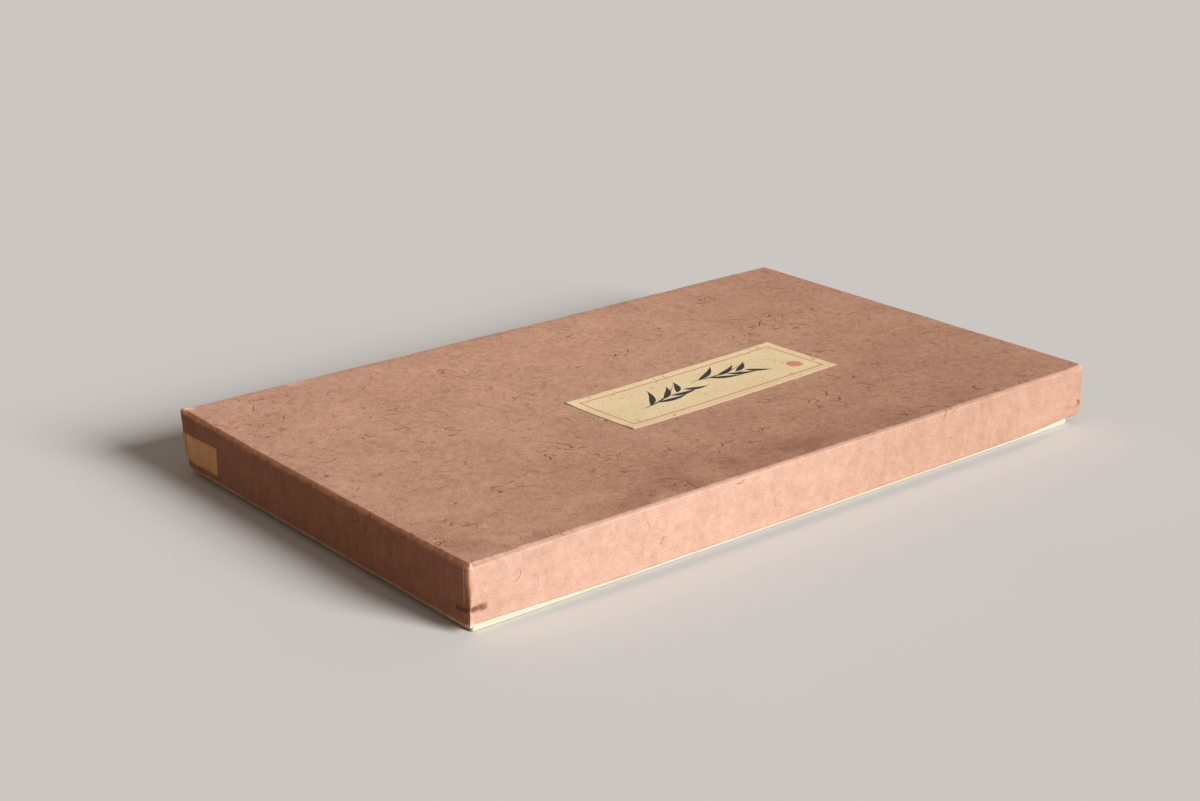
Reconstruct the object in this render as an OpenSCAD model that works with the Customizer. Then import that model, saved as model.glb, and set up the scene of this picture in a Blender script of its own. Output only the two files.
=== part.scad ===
// A shallow two-piece box of paper-covered board: a tray and a lid that slips down over it.
// Each board, sheet of paper and corner staple is a solid of its own.
// Millimetres, +Z up. The origin lies on the table, under the middle of the lid.
// +X runs along the long sides and -Y is the long front side.

/* [Closed box] */
// Length of the lid over its cover paper
lid_length = 300; // [200:1:420]
// Width of the lid over its cover paper
lid_width = 181; // [120:1:300]
// Height of the closed box, from the table to the top of the lid
box_height = 24.7; // [23:0.1:80]
// Height of the strip of the base that stays bare below the lid
reveal = 3.7; // [1.5:0.1:5]

/* [Board and paper] */
// Thickness of the paperboard
board = 1.5; // [1.2:0.1:2.5]
// Thickness of the cover paper outside the boards
cover_paper = 0.25; // [0.15:0.05:0.4]
// Thickness of the lining paper inside the boards
lining_paper = 0.2; // [0.1:0.05:0.4]
// Thickness of the sheet pasted under the base
bottom_paper = 0.2; // [0.1:0.05:0.4]
// Depth to which the cover paper is turned in over a rim
turn_in = 12; // [6:0.5:14]
// Width of the cover paper turned under the base
turn_under = 14; // [9:1:25]
// Distance from the edge of the base to the edge of its bottom sheet
sheet_margin = 4; // [2:0.5:7]
// Radius of the lid's outer edges over the paper
lid_edge_radius = 1.4; // [0.9:0.1:1.7]
// Radius of the base's outer edges over the paper
base_edge_radius = 1; // [0.9:0.1:1.5]

/* [Fit of lid and base] */
// Gap between lid and base along each long side
side_clearance = 0.3; // [0.2:0.05:1]
// Gap between lid and base at the left end
left_clearance = 0.3; // [0.2:0.05:4]
// Gap between lid and base at the right end
right_clearance = 2.7; // [0.2:0.05:4]

/* [Corner staples] */
// Reach of a staple along each wall, from the corner of the boards
staple_arm = 7; // [6:0.5:10]
// Thickness of the flat staple wire
wire_thickness = 0.45; // [0.3:0.05:0.5]
// Height of the flat staple wire
wire_height = 1.4; // [0.8:0.1:2]
// Length of the bent-over ends inside the wall
clinch = 3; // [1.5:0.5:4]
// Height of the lid's staples above its lower edge, to their middle
lid_staple_rise = 4.9; // [3:0.1:8]
// Depth of the base's staples below its rim, to their middle
base_staple_drop = 8; // [4:0.5:12]

/* [Label and sticker] */
// Length of the title label
label_length = 108.7; // [60:0.1:140]
// Width of the title label
label_width = 38.5; // [20:0.1:60]
// Thickness of the title label
label_paper = 0.15; // [0.1:0.05:0.4]
// Offset of the label's middle along the lid
label_x = 21.9; // [-30:0.1:30]
// Offset of the label's middle across the lid
label_y = -9; // [-20:0.1:20]
// Turn of the label, in degrees
label_turn = 1.8; // [-5:0.1:5]
// Height of the sticker at the rear left corner
sticker_height = 11.4; // [6:0.1:13]
// Height of the sticker's lower edge above the lid's lower edge
sticker_rise = 1.4; // [0.5:0.1:3]
// Length of the sticker along the left end
sticker_end_lap = 26; // [10:0.5:50]
// Length of the sticker along the back
sticker_back_lap = 18; // [10:0.5:50]
// Thickness of the sticker
sticker_paper = 0.15; // [0.1:0.05:0.4]

/* [Hidden] */
$fn = 48;
// How far a cut runs past the face that it opens
cut = 1;
// Least straight edge that a rounding leaves on a board
edge_land = 0.1;

// Lid, from the outside in
lid_board_radius = min(lid_edge_radius - cover_paper, board - edge_land);
lid_radius = lid_board_radius + cover_paper;
lid_board_length = lid_length - 2 * cover_paper;
lid_board_width = lid_width - 2 * cover_paper;
lid_hollow_length = lid_board_length - 2 * board;
lid_hollow_width = lid_board_width - 2 * board;
inner_skin = max(cover_paper, lining_paper);
lid_inner_length = lid_hollow_length - 2 * inner_skin;
lid_inner_width = lid_hollow_width - 2 * inner_skin;

// Lid, from the lower edge up
lid_board_foot = reveal + cover_paper;
lid_turn_top = reveal + turn_in;
lid_board_top = box_height - cover_paper;
lid_board_ceiling = lid_board_top - board;
lid_ceiling = lid_board_ceiling - lining_paper;
lid_staple_z = reveal + lid_staple_rise;

// Base, from the outside in
base_length = lid_inner_length - left_clearance - right_clearance;
base_width = lid_inner_width - 2 * side_clearance;
base_x = (left_clearance - right_clearance) / 2;
base_board_radius = min(base_edge_radius - cover_paper, board - edge_land);
base_radius = base_board_radius + cover_paper;
base_board_length = base_length - 2 * cover_paper;
base_board_width = base_width - 2 * cover_paper;
base_hollow_length = base_board_length - 2 * board;
base_hollow_width = base_board_width - 2 * board;

// Base, from the table up: its rim carries the lid's ceiling
base_foot = bottom_paper;
base_board_foot = base_foot + cover_paper;
base_floor = base_board_foot + board;
base_rim = lid_ceiling;
base_board_rim = base_rim - cover_paper;
base_turn_foot = base_rim - turn_in;
base_staple_z = base_rim - base_staple_drop;

board_colour = "#a59a88";
lid_paper_colour = "#c4957c";
base_paper_colour = "#ede0c0";
lining_colour = "#ded3b8";
label_colour = "#e0cfa2";
sticker_colour = "#c9ae82";
staple_colour = "#6b4a38";

// Rectangle about the origin with round corners
module rounded_rectangle(length, width, radius) {
    square([length - 2 * radius, width], center = true);
    square([length, width - 2 * radius], center = true);
    for (sx = [-1, 1])
        for (sy = [-1, 1])
            translate([sx * (length / 2 - radius), sy * (width / 2 - radius)])
                circle(radius);
}

// Plain block about the Z axis, from foot to top
module block(length, width, foot, top) {
    translate([0, 0, foot])
        linear_extrude(top - foot)
            square([length, width], center = true);
}

// Block with round upright edges
module rounded_block(length, width, foot, top, radius) {
    translate([0, 0, foot])
        linear_extrude(top - foot)
            rounded_rectangle(length, width, radius);
}

// Cylinders and balls along the top edges of a crowned block, with their middles on the XY plane
module edge_rounds(flat_length, flat_width, radius) {
    for (side = [-1, 1]) {
        translate([0, side * flat_width / 2, 0])
            rotate([0, 90, 0])
                cylinder(h = flat_length, r = radius, center = true);
        translate([side * flat_length / 2, 0, 0])
            rotate([90, 0, 0])
                cylinder(h = flat_width, r = radius, center = true);
    }
    for (sx = [-1, 1])
        for (sy = [-1, 1])
            translate([sx * flat_length / 2, sy * flat_width / 2, 0])
                sphere(radius);
}

// Block with round upright edges and round top edges
module crowned_block(length, width, foot, top, radius) {
    flat_length = length - 2 * radius;
    flat_width = width - 2 * radius;
    rounded_block(length, width, foot, top - radius, radius);
    block(flat_length, flat_width, foot, top);
    intersection() {
        translate([0, 0, top - radius])
            edge_rounds(flat_length, flat_width, radius);
        block(length + 2 * cut, width + 2 * cut, foot, top + cut);
    }
}

// Block with round upright edges and round bottom edges
module keeled_block(length, width, foot, top, radius) {
    translate([0, 0, foot + top])
        mirror([0, 0, 1])
            crowned_block(length, width, foot, top, radius);
}

// Board along a long side, across the whole length. side is -1 for the front and 1 for the back
module long_wall(length, width, foot, top, radius, side) {
    intersection() {
        rounded_block(length, width, foot, top, radius);
        translate([0, side * (width - board) / 2, 0])
            block(length, board, foot, top);
    }
}

// Board across an end, between the long walls. side is -1 for the left and 1 for the right
module end_wall(length, width, foot, top, radius, side) {
    intersection() {
        rounded_block(length, width, foot, top, radius);
        translate([side * (length - board) / 2, 0, 0])
            block(board, width - 2 * board, foot, top);
    }
}

// One half of a staple: an arm outside the wall, a leg through it and a bent-over end inside
module staple_half(length, width, radius) {
    arm_end = length / 2 - staple_arm;
    outer_face = width / 2;
    translate([arm_end, outer_face - wire_thickness, 0])
        cube([staple_arm - radius, wire_thickness, wire_height]);
    translate([arm_end, outer_face - board, 0])
        cube([wire_thickness, board, wire_height]);
    translate([arm_end, outer_face - board, 0])
        cube([clinch, wire_thickness, wire_height]);
}

// Flat wire bent round the corner of a box of boards, sunk flush with their faces
module corner_staple(length, width, radius) {
    staple_half(length, width, radius);
    mirror([1, -1, 0])
        staple_half(width, length, radius);
    translate([length / 2 - radius, width / 2 - radius, 0])
        rotate_extrude(angle = 90)
            translate([radius - wire_thickness, 0])
                square([wire_thickness, wire_height]);
}

// The four corner staples of a box of boards, with their middle at the given height
module corner_staples(length, width, radius, middle) {
    for (mx = [0, 1])
        for (my = [0, 1])
            mirror([mx, 0, 0])
                mirror([0, my, 0])
                    translate([0, 0, middle - wire_height / 2])
                        corner_staple(length, width, radius);
}

module lid_staple_set() {
    corner_staples(lid_board_length, lid_board_width, lid_board_radius, lid_staple_z);
}

module base_staple_set() {
    corner_staples(base_board_length, base_board_width, base_board_radius, base_staple_z);
}

module lid_long_board(side) {
    color(board_colour)
        difference() {
            long_wall(lid_board_length, lid_board_width, lid_board_foot, lid_board_ceiling,
                lid_board_radius, side);
            lid_staple_set();
        }
}

module lid_end_board(side) {
    color(board_colour)
        difference() {
            end_wall(lid_board_length, lid_board_width, lid_board_foot, lid_board_ceiling,
                lid_board_radius, side);
            lid_staple_set();
        }
}

module base_long_board(side) {
    color(board_colour)
        translate([base_x, 0, 0])
            difference() {
                long_wall(base_board_length, base_board_width, base_floor, base_board_rim,
                    base_board_radius, side);
                base_staple_set();
            }
}

module base_end_board(side) {
    color(board_colour)
        translate([base_x, 0, 0])
            difference() {
                end_wall(base_board_length, base_board_width, base_floor, base_board_rim,
                    base_board_radius, side);
                base_staple_set();
            }
}

module lid_top_board() {
    color(board_colour)
        crowned_block(lid_board_length, lid_board_width, lid_board_ceiling, lid_board_top,
            lid_board_radius);
}

module lid_front_board() {
    lid_long_board(-1);
}

module lid_back_board() {
    lid_long_board(1);
}

module lid_left_board() {
    lid_end_board(-1);
}

module lid_right_board() {
    lid_end_board(1);
}

module lid_corner_staples() {
    color(staple_colour)
        lid_staple_set();
}

// Sheet over the top and the four sides, round the lower edge and up inside the walls
module lid_cover_paper() {
    color(lid_paper_colour)
        difference() {
            crowned_block(lid_length, lid_width, reveal, box_height, lid_radius);
            difference() {
                crowned_block(lid_board_length, lid_board_width, lid_board_foot, lid_board_top,
                    lid_board_radius);
                block(lid_hollow_length, lid_hollow_width, reveal, lid_turn_top);
            }
            block(lid_hollow_length - 2 * cover_paper, lid_hollow_width - 2 * cover_paper,
                reveal - cut, lid_turn_top + cut);
        }
}

// Sheet on the lid's ceiling, pasted down the walls to the turned-in cover paper
module lid_lining_paper() {
    color(lining_colour)
        difference() {
            block(lid_hollow_length, lid_hollow_width, lid_turn_top, lid_board_ceiling);
            block(lid_hollow_length - 2 * lining_paper, lid_hollow_width - 2 * lining_paper,
                lid_turn_top - cut, lid_ceiling);
        }
}

module title_label() {
    color(label_colour)
        translate([label_x, label_y, 0])
            rotate([0, 0, label_turn])
                block(label_length, label_width, box_height, box_height + label_paper);
}

// Sticker folded round the upright edge between the left end and the back
module corner_sticker() {
    foot = reveal + sticker_rise;
    top = foot + sticker_height;
    color(sticker_colour)
        intersection() {
            difference() {
                rounded_block(lid_length + 2 * sticker_paper, lid_width + 2 * sticker_paper,
                    foot, top, lid_radius + sticker_paper);
                rounded_block(lid_length, lid_width, foot - cut, top + cut, lid_radius);
            }
            translate([-lid_length / 2 - cut, lid_width / 2 - sticker_end_lap, foot])
                cube([sticker_back_lap + cut, sticker_end_lap + cut, sticker_height]);
        }
}

module base_bottom_board() {
    color(board_colour)
        translate([base_x, 0, 0])
            keeled_block(base_board_length, base_board_width, base_board_foot, base_floor,
                base_board_radius);
}

module base_front_board() {
    base_long_board(-1);
}

module base_back_board() {
    base_long_board(1);
}

module base_left_board() {
    base_end_board(-1);
}

module base_right_board() {
    base_end_board(1);
}

module base_corner_staples() {
    color(staple_colour)
        translate([base_x, 0, 0])
            base_staple_set();
}

// Band round the four sides, turned under the bottom and over the rim
module base_cover_paper() {
    color(base_paper_colour)
        translate([base_x, 0, 0])
            difference() {
                keeled_block(base_length, base_width, base_foot, base_rim, base_radius);
                difference() {
                    keeled_block(base_board_length, base_board_width, base_board_foot, base_board_rim,
                        base_board_radius);
                    block(base_hollow_length, base_hollow_width, base_turn_foot, base_rim);
                }
                block(base_hollow_length - 2 * cover_paper, base_hollow_width - 2 * cover_paper,
                    base_turn_foot - cut, base_rim + cut);
                block(base_length - 2 * turn_under, base_width - 2 * turn_under,
                    base_foot - cut, base_board_foot + cut);
            }
}

// Sheet on the floor of the base, pasted up the walls to the turned-in cover paper
module base_lining_paper() {
    color(lining_colour)
        translate([base_x, 0, 0])
            difference() {
                block(base_hollow_length, base_hollow_width, base_floor, base_turn_foot);
                block(base_hollow_length - 2 * lining_paper, base_hollow_width - 2 * lining_paper,
                    base_floor + lining_paper, base_turn_foot + cut);
            }
}

// Sheet that hides the turned-under edges and fills the field between them
module base_bottom_sheet() {
    color(base_paper_colour)
        translate([base_x, 0, 0]) {
            block(base_length - 2 * sheet_margin, base_width - 2 * sheet_margin, 0, base_foot);
            block(base_length - 2 * turn_under, base_width - 2 * turn_under, 0, base_board_foot);
        }
}

lid_top_board();
lid_front_board();
lid_back_board();
lid_left_board();
lid_right_board();
lid_corner_staples();
lid_cover_paper();
lid_lining_paper();
title_label();
corner_sticker();
base_bottom_board();
base_front_board();
base_back_board();
base_left_board();
base_right_board();
base_corner_staples();
base_cover_paper();
base_lining_paper();
base_bottom_sheet();
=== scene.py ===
"""Looks of a shallow paper-covered board box with a lift-off lid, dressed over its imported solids.

The fibre paper of the lid, its linings, label, sticker and raised fibres and the cream band of the
base are surfaces worked out with numpy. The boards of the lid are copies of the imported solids, bowed
with the paper over them. Everything is in metres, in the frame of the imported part.
"""
import logging
import math
from dataclasses import dataclass, field, fields
from enum import Enum
from functools import reduce
from typing import TypeVar

import bmesh
import bpy
import numpy as np
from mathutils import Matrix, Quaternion, Vector


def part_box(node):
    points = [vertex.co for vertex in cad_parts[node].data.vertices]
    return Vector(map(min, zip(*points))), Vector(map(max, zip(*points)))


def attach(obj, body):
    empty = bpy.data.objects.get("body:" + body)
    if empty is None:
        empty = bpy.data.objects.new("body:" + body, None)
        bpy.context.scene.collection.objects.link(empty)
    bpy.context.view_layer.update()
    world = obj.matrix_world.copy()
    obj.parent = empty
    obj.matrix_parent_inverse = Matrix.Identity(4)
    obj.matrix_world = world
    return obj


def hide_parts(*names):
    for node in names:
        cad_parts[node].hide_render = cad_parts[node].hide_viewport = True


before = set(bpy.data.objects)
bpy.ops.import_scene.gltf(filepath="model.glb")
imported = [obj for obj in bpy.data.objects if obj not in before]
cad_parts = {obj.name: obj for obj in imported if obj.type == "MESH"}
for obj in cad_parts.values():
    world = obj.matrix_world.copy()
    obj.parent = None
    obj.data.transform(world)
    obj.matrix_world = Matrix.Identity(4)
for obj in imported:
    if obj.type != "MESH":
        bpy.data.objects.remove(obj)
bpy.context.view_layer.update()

MM = 0.001
LOG = logging.getLogger("paper_box")
WELD = 0.002 * MM
QUARTER = math.pi / 2
LAYER_SHIFT = (0.37, 0.73, 0.11)
SEEN_RAYS = ("Camera", "Glossy", "Transmission")

Array = np.ndarray
Place = tuple[float, float]
Point = tuple[float, float, float]
Colour = tuple[float, float, float]
Socket = bpy.types.NodeSocket
Value = Socket | float
Paint = Socket | Colour
Material = bpy.types.Material
Piece = bpy.types.Object
Rows = TypeVar("Rows", "Stations", "Section")


class Body(Enum):
    """The two bodies that come apart when the box is opened."""

    LID = "lid"
    BASE = "base"


class Hang(Enum):
    """Which way the walls of a folded sheet go from its flat part."""

    DOWN = 1
    UP = -1


def ease(value: Array, start: float, end: float) -> Array:
    """Smooth step, 0 at start and 1 at end, either way round, with 3t^2 - 2t^3 between them."""
    share = np.clip((value - start) / (end - start), 0.0, 1.0)
    return share * share * (3.0 - 2.0 * share)


def swing(distance: Array, reach: float, power: float = 1.0) -> Array:
    """Quarter sine wave that climbs from 0 to 1 over reach, raised to power, and stays at 1."""
    return np.sin(QUARTER * np.clip(distance / reach, 0.0, 1.0)) ** power


def bell(distance: Array, reach: float) -> Array:
    """Bell curve, 1 at no distance and 1/e at reach: e to the power of minus the squared share."""
    return np.exp(-((distance / reach) ** 2))


def graded(half: float, fine: float = 0.45 * MM, coarse: float = 3.2 * MM) -> Array:
    """Places from -half to half that lie close together near both ends.

    Three even runs follow each other from an end to the middle: fine steps for 9 mm, medium steps
    to 24 mm, coarse steps to the middle. The second half mirrors the first.

    Args:
        half: Half the length of the edge.
        fine: Step near the ends.
        coarse: Step near the middle.

    Returns:
        The places in rising order.
    """
    near, far = 9.0 * MM, 24.0 * MM
    medium = math.sqrt(fine * coarse)
    first = np.linspace(0.0, near, round(near / fine) + 1)
    second = np.linspace(near, far, round((far - near) / medium) + 1)
    third = np.linspace(far, half, max(2, round((half - far) / coarse) + 1))
    inwards = np.concatenate([first, second[1:], third[1:]]) - half
    return np.concatenate([inwards, -inwards[-2::-1]])


def grid_quads(rows: int, columns: int, wrap_rows: bool = False, wrap_columns: bool = False) -> Array:
    """Corner numbers of the faces of a grid whose points are stored row by row.

    Args:
        rows: Number of rows of points.
        columns: Number of points in a row.
        wrap_rows: Whether the last row joins the first.
        wrap_columns: Whether the end of a row joins its start.

    Returns:
        One line of four corner numbers for each face.
    """
    row = np.arange(rows if wrap_rows else rows - 1)[:, None]
    column = np.arange(columns if wrap_columns else columns - 1)[None, :]
    next_row = (row + 1) % rows
    next_column = (column + 1) % columns
    corners = [(row, column), (next_row, column), (next_row, next_column), (row, next_column)]
    return np.stack([(r * columns + c).ravel() for r, c in corners], axis=1)


def level_grid(along: Array, across: Array, height: float) -> Array:
    """Points at one height on a grid of places along and across."""
    x, y = np.meshgrid(along, across, indexing="ij")
    return np.stack([x, y, np.full_like(x, height)], axis=2)


def upright(places: Array, height: Array) -> Array:
    """Adds one height for each row to a grid of places in plan."""
    spread = np.broadcast_to(height[:, None, None], (*places.shape[:2], 1))
    return np.concatenate([places, spread], axis=2)


def pairs(first: Array | float, second: Array | float) -> Array:
    """Two rows of numbers, or a number for one of them, as points of a plane."""
    return np.stack(np.broadcast_arrays(np.atleast_1d(first), np.atleast_1d(second)), axis=1)


def chain(parts: list[Rows]) -> Rows:
    """Puts stations, or stretches of a cross section, one after the other.

    Args:
        parts: Rows of one kind, in order.

    Returns:
        One row of that kind.
    """
    kind = type(parts[0])
    columns = ([getattr(part, column.name) for part in parts] for column in fields(kind))
    return kind(*(np.concatenate(column) for column in columns))


def put_in(name: str, data: bpy.types.ID) -> Piece:
    """Makes an object of a mesh, a lamp or a camera and puts it into the scene.

    Args:
        name: Name of the object.
        data: What it shows.

    Returns:
        The object, at the origin.
    """
    made = bpy.data.objects.new(name, data)
    bpy.context.scene.collection.objects.link(made)
    return made


@dataclass
class Skin:
    """A surface in arrays: points, four-cornered faces, places on the flat sheet and a worn share."""

    points: Array
    quads: Array
    sheet: Array
    worn: Array

    @staticmethod
    def of_grid(
        points: Array, sheet: Array, worn: Array | float = 0.0, flip: bool = False, **wraps: bool
    ) -> "Skin":
        """Makes a skin of a grid of points.

        Args:
            points: Rows by columns by three.
            sheet: Rows by columns by two, each point's place on the flat sheet.
            worn: Rows by columns, or one number for all.
            flip: Whether the faces turn to the other side.
            wraps: Which ways the grid closes on itself, as in grid_quads.

        Returns:
            The skin.
        """
        rows, columns = points.shape[:2]
        quads = grid_quads(rows, columns, **wraps)
        if flip:
            quads = quads[:, ::-1]
        shares = np.broadcast_to(worn, (rows, columns))
        return Skin(points.reshape(-1, 3), quads, sheet.reshape(-1, 2), shares.ravel())

    @staticmethod
    def slab(upper: Array, lower: Array, sheet: Array, worn: Array | float = 0.0) -> "Skin":
        """Closes two grids of the same size into a thin slab with a wall round its edge.

        Args:
            upper: Rows by columns by three, the grid on the open side.
            lower: The same grid on the pasted side.
            sheet: Rows by columns by two.
            worn: Rows by columns, or one number for all.

        Returns:
            The closed skin.
        """
        rows, columns = upper.shape[:2]
        count = rows * columns
        number = np.arange(count).reshape(rows, columns)
        rim = np.concatenate([number[:-1, 0], number[-1, :-1], number[:0:-1, -1], number[0, :0:-1]])
        across = np.roll(rim, -1)
        wall = np.stack([rim + count, across + count, across, rim], axis=1)
        faces = grid_quads(rows, columns)
        quads = np.concatenate([faces, faces[:, ::-1] + count, wall])
        points = np.concatenate([upper.reshape(-1, 3), lower.reshape(-1, 3)])
        shares = np.broadcast_to(worn, (rows, columns)).ravel()
        return Skin(points, quads, np.tile(sheet.reshape(-1, 2), (2, 1)), np.tile(shares, 2))

    @staticmethod
    def join(skins: list["Skin"]) -> "Skin":
        """Puts several skins into one.

        Args:
            skins: The skins, in order.

        Returns:
            One skin with all their points and faces.
        """
        firsts = np.cumsum([0] + [len(skin.points) for skin in skins[:-1]])
        return Skin(
            np.concatenate([skin.points for skin in skins]),
            np.concatenate([skin.quads + first for skin, first in zip(skins, firsts)]),
            np.concatenate([skin.sheet for skin in skins]),
            np.concatenate([skin.worn for skin in skins]),
        )

    def build(self, name: str, crease: float = 40.0) -> Piece:
        """Writes the skin into a welded Blender mesh with its flat-sheet map and worn shares.

        Args:
            name: Name of the piece.
            crease: Angle in degrees above which an edge is shaded sharp.

        Returns:
            The piece, at the origin.
        """
        mesh = bpy.data.meshes.new(name)
        mesh.from_pydata(self.points.tolist(), [], self.quads.tolist())
        layer = mesh.uv_layers.new(name="sheet")
        layer.data.foreach_set("uv", self.sheet[self.quads.ravel()].astype(np.float32).ravel())
        share = mesh.attributes.new("worn", "FLOAT", "POINT")
        share.data.foreach_set("value", self.worn.astype(np.float32))
        weld(mesh)
        mesh.polygons.foreach_set("use_smooth", np.ones(len(mesh.polygons), dtype=bool))
        mesh.set_sharp_from_angle(angle=math.radians(crease))
        return put_in(name, mesh)


def weld(mesh: bpy.types.Mesh) -> None:
    """Merges the points of a mesh that lie in one place and drops the faces that this empties.

    Args:
        mesh: The mesh, changed in place.
    """
    solid = bmesh.new()
    solid.from_mesh(mesh)
    bmesh.ops.remove_doubles(solid, verts=solid.verts, dist=WELD)
    bmesh.ops.dissolve_degenerate(solid, edges=solid.edges, dist=WELD)
    solid.to_mesh(mesh)
    solid.free()


@dataclass(frozen=True)
class Knock:
    """A corner that is blunted: an upright edge pushed in, and its rim pushed along it.

    It fades from its level by a reach in plan and a height.
    """

    corner: Place
    level: float
    push: float
    rise: float
    reach: float
    height: float

    def soften(self, points: Array, shape: Array) -> Array:
        """Moves points near the corner inwards and upwards by shares that fall off as a bell curve.

        Args:
            points: Points at rest.
            shape: Points moved so far, of the same shape, which is changed.

        Returns:
            The points moved further.
        """
        aside = np.linalg.norm(points[..., :2] - np.array(self.corner), axis=-1)
        share = bell(aside, self.reach) * bell(points[..., 2] - self.level, self.height)
        inwards = -np.sign(np.array(self.corner)) * self.push / math.sqrt(2.0)
        shape[..., :2] += share[..., None] * inwards
        shape[..., 2] += share * self.rise
        return shape


@dataclass(frozen=True)
class Bow:
    """How far the foot of a wall bows outwards, and how the bow grows from the wall's two ends."""

    depth: float
    first_reach: float
    first_power: float
    last_reach: float
    last_power: float

    def at(self, from_first: Array, from_last: Array) -> Array:
        """The bow along the wall: its depth times a quarter wave from each end."""
        first = swing(from_first, self.first_reach, self.first_power)
        return self.depth * first * swing(from_last, self.last_reach, self.last_power)


@dataclass(frozen=True)
class Inside:
    """How far points lie inside the walls and below the top of the straight lid, 0 outside it.

    The share is the depth below the top as a share of the wall's height.
    """

    left: Array
    right: Array
    front: Array
    back: Array
    below: Array
    share: Array

    @property
    def upper(self) -> Array:
        """1 at the top, falling evenly to 0 at the foot."""
        return 1.0 - np.minimum(self.share, 1.0)


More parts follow.
